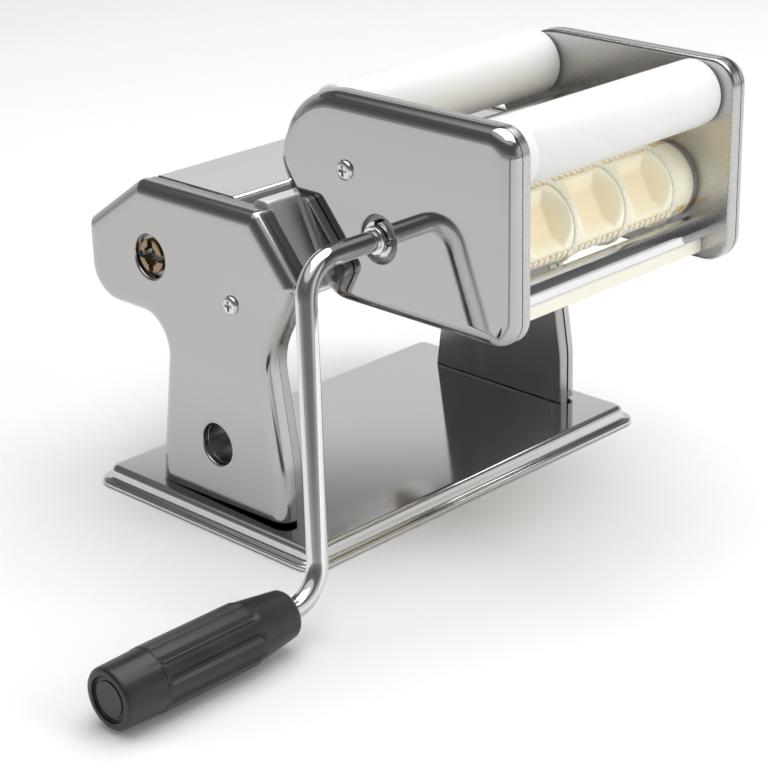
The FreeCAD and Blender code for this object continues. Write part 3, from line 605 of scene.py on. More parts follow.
@dataclass(frozen=True)
class Steel:
    """Polished or satin steel with fine rubbing marks."""

    name: str
    tone: Tone
    roughness: Pair
    grain: Grain = Grain.NONE
    marks: float = 0.10
    slot: str = "polished_steel"

    def make(self) -> bpy.types.Material:
        """Build the material.

        Returns:
            The material.
        """
        shader = Shader(self.name)
        shader.set(Metallic=1.0)
        stretch = self.grain.value
        broad = shader.noise([BROAD_WAVES * s for s in stretch], 3.0)
        fine = shader.noise([FINE_WAVES * s for s in stretch], 2.0, 0.7)
        shader.tint(broad, tuple(c * SHADED for c in self.tone), self.tone)
        shader.link(shader.spread(broad, *self.roughness), "Roughness")
        shader.bump(fine, 0.00003, self.marks)
        return shader.material


@dataclass(frozen=True)
class GrainySheet:
    """Bright sheet with a fine sparkling grain."""

    name: str
    dark: Tone
    light: Tone
    slot: str = "dark_sheet"

    def make(self) -> bpy.types.Material:
        """Build the material.

        Returns:
            The material.
        """
        shader = Shader(self.name)
        shader.set(Metallic=1.0)
        specks = shader.noise([1500.0, 1500.0, 1500.0], 3.0, 0.8)
        shader.tint(specks, self.dark, self.light)
        shader.link(shader.spread(shader.noise([300.0] * 3), 0.14, 0.22), "Roughness")
        shader.bump(specks, 0.00012, 0.35)
        return shader.material


@dataclass(frozen=True)
class Plastic:
    """Moulded plastic with slight mottling and a fine skin."""

    name: str
    tone: Tone
    shadow: Tone
    roughness: Pair
    skin: float = 0.15
    skin_scale: float = 900.0
    glow: float = 0.0
    slot: str = "cream_plastic"

    def make(self) -> bpy.types.Material:
        """Build the material.

        Returns:
            The material.
        """
        shader = Shader(self.name)
        mottle = shader.noise([MOTTLE_WAVES] * 3, 3.0)
        shader.tint(mottle, self.shadow, self.tone)
        shader.link(shader.spread(mottle, *self.roughness), "Roughness")
        shader.bump(shader.noise([self.skin_scale] * 3, 2.0, 0.7), 0.00008, self.skin)
        if self.glow > 0:
            shader.set(Subsurface_Weight=self.glow, Subsurface_Radius=LIGHT_REACH, Subsurface_Scale=0.003)
        return shader.material


@dataclass(frozen=True)
class MouldPlastic:
    """Cream moulding plastic, with painted shade that deepens in the pockets and amber painted shade in the
    notches at the feet of the ridges.
    """

    name: str
    crest: Tone
    pocket_shade_tone: Tone
    notch_shade_tone: Tone
    slot: str = "cream_plastic"

    def make(self) -> bpy.types.Material:
        """Build the material. It reads the shares of painted shade kept on the rollers' points: by depth in
        the pockets, and near the ridges.

        Returns:
            The material.
        """
        shader = Shader(self.name)
        mottle = shader.noise([MOTTLE_WAVES] * 3, 3.0)
        # Painted shade: the pockets turn to the deeper tone as they get deeper.
        deep = shader.blend(shader.kept("depth"), (*self.crest, 1.0), (*self.pocket_shade_tone, 1.0))
        # Painted shade: amber in patches in the notches at the feet of the ridges.
        patches = shader.spread(shader.noise([420.0] * 3), 0.1, 1.0)
        patchy_notch_shade = shader.maths("MULTIPLY", shader.kept("stain"), patches)
        notch_shaded = shader.blend(patchy_notch_shade, deep, (*self.notch_shade_tone, 1.0))
        shader.link(notch_shaded, "Base Color")
        shader.link(shader.spread(mottle, 0.30, 0.44), "Roughness")
        shader.bump(shader.noise([500.0] * 3, 2.0, 0.7), 0.00008, 0.10)
        shader.set(Subsurface_Weight=0.2, Subsurface_Radius=LIGHT_REACH, Subsurface_Scale=0.002)
        return shader.material


class Finishes:
    """The materials of the machine, each made once."""

    COVER = Steel("polished_cover", (0.50, 0.487, 0.478), (0.11, 0.18), Grain.ALONG_X, 0.10)
    BRIGHT_COVER = Steel("mirror_cover", (0.50, 0.487, 0.478), (0.03, 0.06), Grain.ALONG_X, 0.04)
    # Dark bronze of the drive jaws: a bronze tone, darkened as painted shade of the bore.
    PAINTED_SHADE_BORE = Steel("worn_bore", (0.34, 0.24, 0.15), (0.25, 0.38), Grain.NONE, 0.20, "bronze")
    BASE = Steel("mirror_base", (0.72, 0.705, 0.69), (0.05, 0.10), Grain.ALONG_Y, 0.05)
    TOP = Steel("bright_sheet", (0.78, 0.77, 0.76), (0.05, 0.09), Grain.ALONG_Y, 0.04)
    GUIDE = Steel("satin_guide", (0.95, 0.94, 0.93), (0.50, 0.60), Grain.ALONG_Y, 0.10)
    FRAME = Steel("satin_frame", (0.44, 0.43, 0.42), (0.20, 0.32), Grain.ALONG_Z, 0.22, "satin_steel")
    ROLLER = Steel("ground_roller", (0.74, 0.74, 0.74), (0.10, 0.16), Grain.NONE, 0.08, "roller_steel")
    CHROME = Steel("chromed_rod", (0.80, 0.80, 0.81), (0.03, 0.07), Grain.NONE, 0.03, "chromed_rod")
    GEAR = Steel("cut_gear", (0.50, 0.49, 0.47), (0.30, 0.42), Grain.ALONG_Y, 0.30, "gear_steel")
    SCREW = Steel("plated_screw", (0.74, 0.74, 0.75), (0.14, 0.24), Grain.NONE, 0.12, "zinc_screw")
    BRONZE = Steel("bush_bronze", (0.55, 0.40, 0.22), (0.28, 0.40), Grain.NONE, 0.20, "bronze")
    INNER = GrainySheet("grainy_wall", (0.40, 0.395, 0.39), (0.64, 0.635, 0.63))
    WHITE = Plastic("white_nylon", (0.78, 0.78, 0.775), (0.75, 0.75, 0.745), (0.42, 0.55), 0.10, 700.0, 0.08,
                    "white_nylon")
    # Crest tone, then the painted shade tones of the pockets and of the notches beside the ridges.
    CREAM = MouldPlastic("cream_mould", (0.93, 0.88, 0.70), (0.93, 0.81, 0.57), (0.62, 0.34, 0.08))
    BAR = Plastic("cream_bar", (0.86, 0.83, 0.73), (0.84, 0.80, 0.69), (0.32, 0.46), 0.10, 500.0, 0.15)
    GRIP = Plastic("black_grip", (0.022, 0.022, 0.023), (0.014, 0.014, 0.015), (0.30, 0.42), 0.35, 1400.0,
                   slot="black_plastic")
    RUBBER = Plastic("black_rubber", (0.030, 0.030, 0.030), (0.020, 0.020, 0.020), (0.65, 0.80), 0.40, 1800.0,
                     slot="black_rubber")
    PRINT = Plastic("white_print", (0.80, 0.80, 0.79), (0.76, 0.76, 0.75), (0.45, 0.55), 0.05, 900.0,
                    slot="black_plastic")

    def __init__(self) -> None:
        """Start with no material made."""
        self._made: dict[str, bpy.types.Material] = {}

    def dress(self, piece: Piece, finish: object) -> Piece:
        """Give a piece one finish on all its faces.

        Args:
            piece: The piece.
            finish: The finish it gets.

        Returns:
            The same piece.
        """
        material = self.material(finish)
        piece.data.materials.clear()
        piece.data.materials.append(material)
        return piece

    def material(self, finish: object) -> bpy.types.Material:
        """Give the material of a finish, made when it is first asked for.

        Args:
            finish: The finish.

        Returns:
            Its material.
        """
        if finish.name not in self._made:
            self._made[finish.name] = finish.make()
        return self._made[finish.name]


# Geometry Nodes


class Arrangement:
    """A node tree that repeats small shapes, with named inputs for its sizes."""

    def __init__(self, name: str) -> None:
        """Start a tree with a geometry input and output.

        Args:
            name: Name of the tree.
        """
        self.tree = bpy.data.node_groups.new(name, "GeometryNodeTree")
        self.tree.interface.new_socket("Geometry", in_out="INPUT", socket_type="NodeSocketGeometry")
        self.tree.interface.new_socket("Geometry", in_out="OUTPUT", socket_type="NodeSocketGeometry")
        self.enter = self.tree.nodes.new("NodeGroupInput")
        self.leave = self.tree.nodes.new("NodeGroupOutput")
        self.names: dict[str, str] = {}

    def size(self, name: str, kind: str, value: object = None) -> None:
        """Add a named input.

        Args:
            name: Name of the input.
            kind: Its type: Int, Float, Object or Material.
            value: Its first value.
        """
        socket = self.tree.interface.new_socket(name, in_out="INPUT", socket_type="NodeSocket" + kind)
        if value is not None:
            socket.default_value = value
        self.names[name] = socket.identifier

    def node(self, kind: str, **values: object) -> bpy.types.Node:
        """Add a node and set its properties.

        Args:
            kind: Type of the node.
            **values: Properties by name.

        Returns:
            The node.
        """
        made = self.tree.nodes.new(kind)
        for key, value in values.items():
            setattr(made, key, value)
        return made

    def join(self, source: Socket, target: Socket) -> None:
        """Link two sockets."""
        self.tree.links.new(source, target)

    def maths(self, operation: str, first: object, second: object) -> Socket:
        """A Math node on two values or sockets.

        Args:
            operation: Name of the operation.
            first: A number or a socket.
            second: A number or a socket.

        Returns:
            The result.
        """
        made = self.node("ShaderNodeMath", operation=operation)
        for socket, value in zip(made.inputs, (first, second)):
            if isinstance(value, Socket):
                self.join(value, socket)
            else:
                socket.default_value = value
        return made.outputs[0]

    def apply(self, piece: Piece, **values: object) -> Piece:
        """Run the tree on a piece and keep the result as its mesh.

        Args:
            piece: The piece that the tree starts from.
            **values: Named inputs, with underscores for spaces.

        Returns:
            The piece with its new mesh.
        """
        modifier = piece.modifiers.new("arrangement", "NODES")
        modifier.node_group = self.tree
        for key, value in values.items():
            modifier[self.names[key.replace("_", " ")]] = value
        return bake(piece)


def finish_arrangement(tree: Arrangement, instances: Socket, with_start: bool) -> None:
    """Close a tree: realise the instances, set the material, and join what it started from.

    Args:
        tree: The tree.
        instances: The instances.
        with_start: Whether the starting geometry stays.
    """
    real = tree.node("GeometryNodeRealizeInstances")
    tree.join(instances, real.inputs["Geometry"])
    paint = tree.node("GeometryNodeSetMaterial")
    if with_start:
        both = tree.node("GeometryNodeJoinGeometry")
        tree.join(tree.enter.outputs["Geometry"], both.inputs["Geometry"])
        tree.join(real.outputs["Geometry"], both.inputs["Geometry"])
        tree.join(both.outputs["Geometry"], paint.inputs["Geometry"])
    else:
        tree.join(real.outputs["Geometry"], paint.inputs["Geometry"])
    tree.join(tree.enter.outputs["Material"], paint.inputs["Material"])
    tree.join(paint.outputs["Geometry"], tree.leave.inputs["Geometry"])


def ring_arrangement() -> Arrangement:
    """A tree that sets a shape in rings round an axis along Y.

    Returns:
        The tree. Its shape stands at the origin with its foot toward the axis along +X.
    """
    tree = Arrangement("rings_round_axis")
    tree.size("Shape", "Object")
    tree.size("Count", "Int", 12)
    tree.size("Rows", "Int", 1)
    tree.size("Row Pitch", "Float", 0.01)
    tree.size("First Row", "Float", 0.0)
    tree.size("Radius", "Float", 0.01)
    tree.size("Turn", "Float", 0.0)
    tree.size("Axis X", "Float", 0.0)
    tree.size("Axis Z", "Float", 0.0)
    tree.size("Material", "Material")
    given = tree.enter.outputs
    points = tree.node("GeometryNodePoints")
    tree.join(tree.maths("MULTIPLY", given["Count"], given["Rows"]), points.inputs["Count"])
    number = tree.node("GeometryNodeInputIndex").outputs[0]
    row = tree.maths("FLOOR", tree.maths("DIVIDE", number, given["Count"]), 0.0)
    step = tree.maths("MODULO", number, given["Count"])
    share = tree.maths("DIVIDE", tree.maths("MULTIPLY", step, 2.0 * math.pi), given["Count"])
    angle = tree.maths("ADD", share, given["Turn"])
    place = tree.node("ShaderNodeCombineXYZ")
    along_x = tree.maths("MULTIPLY", tree.maths("COSINE", angle, 0.0), given["Radius"])
    along_z = tree.maths("MULTIPLY", tree.maths("SINE", angle, 0.0), given["Radius"])
    tree.join(tree.maths("ADD", along_x, given["Axis X"]), place.inputs["X"])
    tree.join(tree.maths("ADD", tree.maths("MULTIPLY", row, given["Row Pitch"]), given["First Row"]),
              place.inputs["Y"])
    tree.join(tree.maths("ADD", along_z, given["Axis Z"]), place.inputs["Z"])
    turned = tree.node("ShaderNodeCombineXYZ")
    tree.join(tree.maths("MULTIPLY", angle, -1.0), turned.inputs["Y"])
    tree.join(place.outputs[0], points.inputs["Position"])
    shape = tree.node("GeometryNodeObjectInfo")
    tree.join(given["Shape"], shape.inputs["Object"])
    scatter = tree.node("GeometryNodeInstanceOnPoints")
    tree.join(points.outputs[0], scatter.inputs["Points"])
    tree.join(shape.outputs["Geometry"], scatter.inputs["Instance"])
    tree.join(turned.outputs[0], scatter.inputs["Rotation"])
    finish_arrangement(tree, scatter.outputs[0], True)
    return tree


def seat_arrangement() -> Arrangement:
    """A tree that sets a screw on each point of a mesh, turned by a seeded angle.

    Returns:
        The tree. The mesh's points carry a rotation named seat_turn.
    """
    tree = Arrangement("screws_on_seats")
    tree.size("Shape", "Object")
    tree.size("Seed", "Int", 3)
    tree.size("Spin", "Float", math.pi)
    tree.size("Material", "Material")
    given = tree.enter.outputs
    shape = tree.node("GeometryNodeObjectInfo")
    tree.join(given["Shape"], shape.inputs["Object"])
    seat = tree.node("GeometryNodeInputNamedAttribute", data_type="FLOAT_VECTOR")
    seat.inputs["Name"].default_value = "seat_turn"
    chance = tree.node("FunctionNodeRandomValue", data_type="FLOAT")
    tree.join(given["Spin"], chance.inputs[3])
    tree.join(given["Seed"], chance.inputs["Seed"])
    scatter = tree.node("GeometryNodeInstanceOnPoints")
    tree.join(given["Geometry"], scatter.inputs["Points"])
    tree.join(shape.outputs["Geometry"], scatter.inputs["Instance"])
    tree.join(seat.outputs["Attribute"], scatter.inputs["Rotation"])
    own_turn = tree.node("ShaderNodeCombineXYZ")
    tree.join(chance.outputs[1], own_turn.inputs["Z"])
    rotate = tree.node("GeometryNodeRotateInstances")
    tree.join(scatter.outputs[0], rotate.inputs["Instances"])
    tree.join(own_turn.outputs[0], rotate.inputs["Rotation"])
    finish_arrangement(tree, rotate.outputs[0], False)
    return tree


# Sheet metal


@dataclass(frozen=True)
class Pressing:
    """Thickness of a sheet, and how deep and how wide its edge is rounded."""

    sheet: float
    edge: float
    edge_wide: float


@dataclass
class PressedShell:
    """A pressed sheet: a flat face, a rounded edge and a skirt, with drawn holes."""

    corners: Sequence[Corner]
    face: float
    rim: float
    pressing: Pressing
    holes: Sequence[Hole] = ()
    hem: Optional[Pair] = None
    bend_steps: int = 12
    edge_steps: int = 9
    hole_steps: int = 6
    hole_sides: int = 48
    flat_margin: float = 0.3

    def build(self, name: str) -> Piece:
        """Make the shell.

        Args:
            name: Name of the piece.

        Returns:
            The shell with its thickness.
        """
        toward = 1.0 if self.rim > self.face else -1.0
        bm = bmesh.new()
        levels: list[Pair] = [(self.rim, 0.0)]
        for k in range(self.edge_steps + 1):
            angle = math.radians(90.0 * k / self.edge_steps)
            levels.append((self.face + toward * self.pressing.edge * (1.0 - math.sin(angle)),
                           self.pressing.edge_wide * (1.0 - math.cos(angle))))
        levels.append((self.face, self.pressing.edge_wide + self.flat_margin))
        skirt = bridge_rings(bm, [self._outline(y, gap) for y, gap in levels])
        loops = ring_edges(bm, skirt[-1])
        for hole in self.holes:
            collar = bridge_rings(bm, self._collar(hole, toward))
            loops += ring_edges(bm, collar[-1])
        bmesh.ops.triangle_fill(bm, use_beauty=True, use_dissolve=False, edges=loops)
        if self.hem:
            self._cut_hem(bm)
        bmesh.ops.recalc_face_normals(bm, faces=bm.faces)
        flat = max(bm.faces, key=lambda f: f.calc_area())
        if flat.normal.y * toward > 0:
            bmesh.ops.reverse_faces(bm, faces=bm.faces)
        bmesh.ops.scale(bm, vec=(MM, MM, MM), verts=bm.verts)
        mesh = bpy.data.meshes.new(name)
        bm.to_mesh(mesh)
        bm.free()
        piece = add_object(name, mesh)
        thick = piece.modifiers.new("sheet", "SOLIDIFY")
        thick.thickness = self.pressing.sheet * MM
        thick.offset = -1.0
        thick.use_even_offset = True
        return bake(piece)

    def _outline(self, y: float, gap: float) -> list[Point]:
        """The outline moved in by a gap, at a place along Y."""
        inner = inset_corners(self.corners, gap) if gap > 0 else self.corners
        return [(x, y, z) for x, z in outline_points(inner, self.bend_steps)]

    def _collar(self, hole: Hole, toward: float) -> list[list[Point]]:
        """Rings of a drawn hole, from the flat face inwards.

        Args:
            hole: The hole.
            toward: Direction of the rim along Y.

        Returns:
            The rings.
        """
        rings: list[list[Point]] = []
        stages = [(hole.radius + hole.lip + self.flat_margin, 0.0)]
        for k in range(self.hole_steps + 1):
            angle = math.radians(90.0 * k / self.hole_steps)
            radius = hole.radius + hole.lip * (1.0 - math.sin(angle))
            stages.append((radius, hole.lip * (1.0 - math.cos(angle))))
        stages.append((hole.radius, hole.depth))
        for radius, depth in stages:
            ring = []
            for k in range(self.hole_sides):
                angle = 2.0 * math.pi * k / self.hole_sides
                ring.append((hole.x + radius * math.cos(angle), self.face + toward * depth,
                             hole.z + radius * math.sin(angle)))
            rings.append(ring)
        return rings[::-1]

    def _cut_hem(self, bm: bmesh.types.BMesh) -> None:
        """Cut the shell along its slanted lower edge.

        Args:
            bm: The mesh of the shell, in millimetres.
        """
        low, rise = self.hem
        everything = bm.verts[:] + bm.edges[:] + bm.faces[:]
        bmesh.ops.bisect_plane(bm, geom=everything, dist=1e-6, plane_co=(0.0, 0.0, low),
                               plane_no=(-rise, 0.0, 1.0), clear_inner=True)


class SmoothNode:
    """A CAD piece whose mesh is copied, merged and shaded with soft edges."""

    def __init__(self, frame: dict, finishes: Finishes) -> None:
        """Remember the frame and the finishes.

        Args:
            frame: The loaded frame.
            finishes: The materials.
        """
        self.frame = frame
        self.finishes = finishes
        self.merge = 2e-6
        self.flat = math.radians(0.6)
        self.corner = math.radians(40.0)
        self.sharp = 32.0

    def dress(self, node: str, body: str, finish: object, soft: float = 0.15) -> Piece:
        """Make the visible twin of a CAD node.

        Args:
            node: Name of the node.
            body: The body it rides on.
            finish: Its finish.
            soft: Width of the broken edges in millimetres.

        Returns:
            The visible piece.
        """
        mesh = self.frame["nodes"][node].data.copy()
        bm = bmesh.new()
        bm.from_mesh(mesh)
        bmesh.ops.remove_doubles(bm, verts=bm.verts, dist=self.merge)
        bmesh.ops.dissolve_limit(bm, angle_limit=self.flat, verts=bm.verts, edges=bm.edges)
        bm.to_mesh(mesh)
        bm.free()
        piece = add_object(node + "_look", mesh)
        mesh.name = piece.name
        for layer in list(mesh.attributes):
            if layer.name == "custom_normal":
                mesh.attributes.remove(layer)
        if soft > 0:
            bevel = piece.modifiers.new("edges", "BEVEL")
            bevel.width = soft * MM
            bevel.segments = 2
            bevel.limit_method = "ANGLE"
            bevel.angle_limit = self.corner
            bevel.harden_normals = False
        weigh = piece.modifiers.new("flats", "WEIGHTED_NORMAL")
        weigh.keep_sharp = True
        shade(piece, self.sharp)
        self.finishes.dress(piece, finish)
        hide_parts(node)
        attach(piece, body)
        LOG.info("piece %s on %s", piece.name, body)
        return piece


def place(piece: Piece, body: str, finish: object, finishes: Finishes, *nodes: str) -> Piece:
    """Dress a finished piece, put it on its body and let it stand for CAD nodes.

    Args:
        piece: The piece.
        body: The body it rides on.
        finish: Its finish.
        finishes: The materials.
        *nodes: CAD nodes that it stands for.

    Returns:
        The same piece.
    """
    finishes.dress(piece, finish)
    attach(piece, body)
    if nodes:
        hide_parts(*nodes)
    LOG.info("piece %s on %s", piece.name, body)
    return piece


# The machine


@dataclass
class Machine:
    """Base, side covers and frames of the pasta machine."""

    finishes: Finishes
    top: float = 133.4
    cover_face: float = 89.0
    cover_rim: float = 82.5
    frame_web: float = 77.5
    frame_rim: float = 82.0
    foot: float = 7.2
    waist: float = 78.3
    leg_lean: float = 11.7
    cover: Pressing = Pressing(sheet=0.8, edge=4.6, edge_wide=6.4)
    frame: Pressing = Pressing(sheet=1.2, edge=1.3, edge_wide=1.3)
    frame_gap: float = 0.4
    clamp: Hole = Hole(x=1.4, z=32.6, radius=8.6, lip=1.1, depth=3.0)
    drive: Hole = Hole(x=-33.0, z=103.5, radius=9.0, lip=1.1, depth=3.0)
    hem_left: float = 7.6
    hem_right: float = 9.4
    hem_long: float = 75.3
    hem_behind: float = 36.0
    half_x: float = 65.5
    half_y: float = 100.0
    base_corner: float = 9.0
    base_corner_least: float = 2.0
    base_steps: int = 10
    base_sheet: float = 0.9
    base_sharp: float = 50.0
    # Offset of the base's skin from its rim, outward positive, at each height.
    base_bead: tuple[Pair, ...] = (
        (-0.3, 0.32), (0.0, 0.75), (0.0, 1.6), (-0.3, 2.05), (-0.8, 2.28), (-2.2, 2.3), (-3.0, 2.45),
        (-3.5, 2.9), (-3.75, 3.6), (-4.0, 5.2), (-4.3, 6.3), (-4.8, 7.0), (-5.5, 7.45), (-6.4, 7.6),
        (-7.0, 7.6),
    )

    def outline(self, foot: float) -> list[Corner]:
        """Outline of a machine side down to its foot.

        Args:
            foot: Height of the lower end.

        Returns:
            The corners.
        """
        return [
            Corner(-39.4, self.top, 4.0),
            Corner(27.7, self.top, 4.0),
            Corner(49.3, 108.0, 4.5),
            Corner(32.2, 76.8, 25.0),
            Corner(39.3, 31.0, 40.0),
            Corner(39.3, foot),
            Corner(-37.1 + foot * self.leg_lean / self.waist, foot),
            Corner(-25.4, self.waist, 14.0),
            Corner(-72.5, self.waist, 15.0),
            Corner(-72.5, 110.8, 5.0),
        ]

    def covers(self) -> None:
        """The two polished shells, with the drawn holes in the near one."""
        rise = (self.hem_right - self.hem_left) / self.hem_long
        hem = (self.hem_left + self.hem_behind * rise, rise)
        near_holes = (self.clamp, self.drive)
        for side, name, holes in ((-1.0, "crank_side_cover", near_holes), (1.0, "knob_side_cover", ())):
            shell = PressedShell(self.outline(0.0), side * self.cover_face, side * self.cover_rim, self.cover,
                                 holes, hem)
            place(shell.build(name + "_look"), "machine", Finishes.COVER, self.finishes, name)

    def frames(self) -> None:
        """The two bent plates behind the covers."""
        corners = inset_corners(self.outline(self.foot), self.frame_gap)
        for side, name in ((-1.0, "crank_side_frame"), (1.0, "knob_side_frame")):
            shell = PressedShell(corners, side * self.frame_web, side * self.frame_rim, self.frame)
            place(shell.build(name + "_look"), "machine", Finishes.FRAME, self.finishes, name)

    def base(self) -> None:
        """The pressed base with its bead, step and raised flat, hollow below."""
        vertices: list[Point] = []
        count = 0
        for offset, height in self.base_bead:
            corner = max(self.base_corner + offset, self.base_corner_least)
            loop = self._rectangle(self.half_x + offset, self.half_y + offset, corner, self.base_steps)
            count = len(loop)
            vertices += [(x, y, height) for x, y in loop]
        faces = wrap_faces(len(self.base_bead), count)
        faces.append(tuple(range(len(vertices) - count, len(vertices))))
        plate = new_piece("base_plate_look", vertices, faces, self.base_sharp)
        if max(plate.data.polygons, key=lambda p: p.area).normal.z < 0:
            plate.data.flip_normals()
        thick = plate.modifiers.new("sheet", "SOLIDIFY")
        thick.thickness = self.base_sheet * MM
        thick.offset = -1.0
        bake(plate, self.base_sharp)
        place(plate, "machine", Finishes.BASE, self.finishes, "base_plate")

    @staticmethod
    def _rectangle(half_x: float, half_y: float, corner: float, steps: int) -> list[Pair]:
        """A rectangle with round corners.

        Args:
            half_x: Half its size along X.
            half_y: Half its size along Y.
            corner: Radius of the corners.
            steps: Pieces of each corner.

        Returns:
            Its points.
        """
        loop: list[Pair] = []
        for quarter, (sx, sy) in enumerate(((1, 1), (-1, 1), (-1, -1), (1, -1))):
            for k in range(steps + 1):
                angle = math.radians(90.0 * (quarter + k / steps))
                loop.append((sx * (half_x - corner) + corner * math.cos(angle),
                             sy * (half_y - corner) + corner * math.sin(angle)))
        return loop

    def build(self) -> None:
        """Make all of it."""
        self.base()
        self.frames()
        self.covers()


@dataclass
class Screws:
    """Cross recess screws set on their seats by a node tree."""

    finishes: Finishes
    head: float = 3.9
    # Heights with the share of the head's radius there.
    levels: tuple[Pair, ...] = ((0.0, 1.0), (0.5, 1.0), (1.05, 0.93), (1.42, 0.78), (1.6, 0.58))
    sides: int = 24
    arm: float = 0.55
    reach: float = 2.1
    recess_floor: float = 0.35
    recess_taper: float = 0.8

    def head_shape(self) -> Piece:
        """A pan head with a cross recess, its seat at the origin and its top toward +Z.

        Returns:
            The shape that is repeated.
        """
        height = self.levels[-1][0]
        rings: list[list[Vector]] = []
        for level, share in self.levels:
            ring: list[Vector] = []
            for k in range(self.sides):
                angle = 2 * math.pi * k / self.sides
                across = self.head * share * math.cos(angle)
                ring.append(Vector((across, self.head * share * math.sin(angle), level)) * MM)
            rings.append(ring)
        bm = bmesh.new()
        made = bridge_rings(bm, rings)
        bm.faces.new(made[0][::-1])
        cross: list[Pair] = []
        for quarter in range(4):
            c = math.cos(quarter * math.pi / 2)
            s = math.sin(quarter * math.pi / 2)
            for x, y in ((self.reach, -self.arm), (self.reach, self.arm), (self.arm, self.arm)):
                cross.append((x * c - y * s, x * s + y * c))
        taper = self.recess_taper
        top, deep = bridge_rings(bm, [
            [Vector((x, y, height)) * MM for x, y in cross],
            [Vector((x * taper, y * taper, self.recess_floor)) * MM for x, y in cross],
        ])
        bm.faces.new(deep)
        edges = ring_edges(bm, made[-1]) + ring_edges(bm, top)
        bmesh.ops.triangle_fill(bm, use_beauty=True, edges=edges)
        bmesh.ops.recalc_face_normals(bm, faces=bm.faces)
        mesh = bpy.data.meshes.new("screw_head")
        bm.to_mesh(mesh)
        bm.free()
        piece = add_object("screw_head", mesh)
        shade(piece, SHARP)
        return piece

    def set(self, name: str, seats: Sequence[tuple[Point, Point]], body: str, node: str, seed: int) -> None:
        """Set the screws of one body.

        Args:
            name: Name of the piece.
            seats: Where each screw sits, in millimetres, and its turn in radians.
            body: The body they ride on.
            node: The CAD node they stand for.
            seed: Seed of the turn of each cross.
        """
        head = self.head_shape()
        mesh = bpy.data.meshes.new(name)
        mesh.from_pydata([Vector(spot) * MM for spot, _ in seats], [], [])
        turns = mesh.attributes.new("seat_turn", "FLOAT_VECTOR", "POINT")
        for k, (_, turn) in enumerate(seats):
            turns.data[k].vector = turn
        piece = add_object(name, mesh)
        plating = self.finishes.material(Finishes.SCREW)
        seat_arrangement().apply(piece, Shape=head, Seed=seed, Material=plating)
        bpy.data.objects.remove(head)
        place(piece, body, Finishes.SCREW, self.finishes, node)


def turned_end(y: float, radius: float, outward: float) -> list[Pair]:
    """Profile points of a flat end with a small bevel, from the axis to the side.

    Args:
        y: Where the end is.
        radius: Radius of the side.
        outward: 1 where the end faces +Y, -1 where it faces -Y.

    Returns:
        Places along Y with their radii.
    """
    return [(y, 0.0), (y, radius - BEVEL), (y - outward * BEVEL, radius)]


@dataclass(frozen=True)
class DriveTube:
    """The end of a tube that takes the crank: a bore, and four jaws between crossed slots."""

    mouth: float
    bore: float = 4.1
    outer: float = 7.0
    bevel: float = 0.2
    depth: float = 16.0
    jaw_long: float = 4.0
    jaw_seat: float = 0.05
    jaw_soft: float = 0.35
    slot_half: float = 1.5
    steps: int = 10

    def profile(self) -> list[Pair]:
        """Profile points behind the jaws.

        Returns:
            Places along Y with their radii, from the floor of the bore to the side of the tube.
        """
        floor = self.mouth + self.depth
        foot = self.mouth + self.jaw_long
        return [(floor, 0.0), (floor, self.bore), (foot, self.bore), (foot, self.outer - self.bevel),
                (foot + BEVEL, self.outer)]

    def jaws(self, name: str, x: float, z: float) -> Piece:
        """The four jaws at the mouth.

        Args:
            name: Name of the mesh.
            x: Where the tube's axis is.
            z: Where the tube's axis is.

        Returns:
            The jaws as one mesh.
        """
        vertices: list[Point] = []
        faces: list[Face] = []
        foot = self.mouth + self.jaw_long + self.jaw_seat
        for quarter in range(4):
            base = len(vertices)
            for k in range(self.steps + 1):
                for radius in (self.bore, self.outer):
                    gap = math.asin(self.slot_half / radius)
                    start = gap + quarter * math.pi / 2
                    sweep = math.pi / 2 - 2.0 * gap
                    angle = start + sweep * k / self.steps
                    soft = self.jaw_soft if radius == self.outer else 0.0
                    for y, r in ((foot, radius), (self.mouth + soft, radius), (self.mouth, radius - soft)):
                        vertices.append((x + r * math.cos(angle), y, z + r * math.sin(angle)))
            for k in range(self.steps):
                a = base + k * 6
                b = a + 6
                faces += [(a, a + 1, b + 1, b), (a + 1, a + 2, b + 2, b + 1), (a + 2, a + 5, b + 5, b + 2),
                          (a + 5, a + 4, b + 4, b + 5), (a + 4, a + 3, b + 3, b + 4), (a, b, b + 3, a + 3)]
            end = base + self.steps * 6
            faces += [(base, base + 3, base + 4, base + 5, base + 2, base + 1),
                      (end, end + 1, end + 2, end + 5, end + 4, end + 3)]
        return new_piece(name, vertices, faces)


@dataclass
class SheetRollers:
    """The two smooth rollers of the machine, one with the drive tube."""

    finishes: Finishes
    radius: float = 11.0
    half: float = 75.5
    edge: float = 0.7
    journal: float = 7.0
    tube: DriveTube = DriveTube(mouth=-88.4)
    fixed: Pair = (-33.0, 103.5)
    fixed_end: float = 80.4
    moving: Pair = (-56.287, 97.694)
    moving_near: float = -86.6
    moving_far: float = 78.7

    def build(self) -> None:
        """Make both rollers."""
        barrel = [(-self.half, self.journal)]
        barrel += cylinder_profile(-self.half, self.half, self.radius, self.edge)[1:-1]
        barrel.append((self.half, self.journal))
        profile = self.tube.profile() + barrel + turned_end(self.fixed_end, self.journal, 1.0)[::-1]
        roller = lathe("fixed_roller_look", profile, *self.fixed)
        jaws = self.tube.jaws("fixed_roller_jaws", *self.fixed)
        # The jaws get darkened bronze: painted shade of the bore on a bronze tone.
        place(jaws, "fixed_roller", Finishes.PAINTED_SHADE_BORE, self.finishes)
        place(roller, "fixed_roller", Finishes.ROLLER, self.finishes, "fixed_roller")
        profile = turned_end(self.moving_near, self.journal, -1.0) + barrel
        profile += turned_end(self.moving_far, self.journal, 1.0)[::-1]
        roller = lathe("moving_roller_look", profile, *self.moving)
        place(roller, "moving_roller", Finishes.ROLLER, self.finishes, "moving_roller")


# The attachment


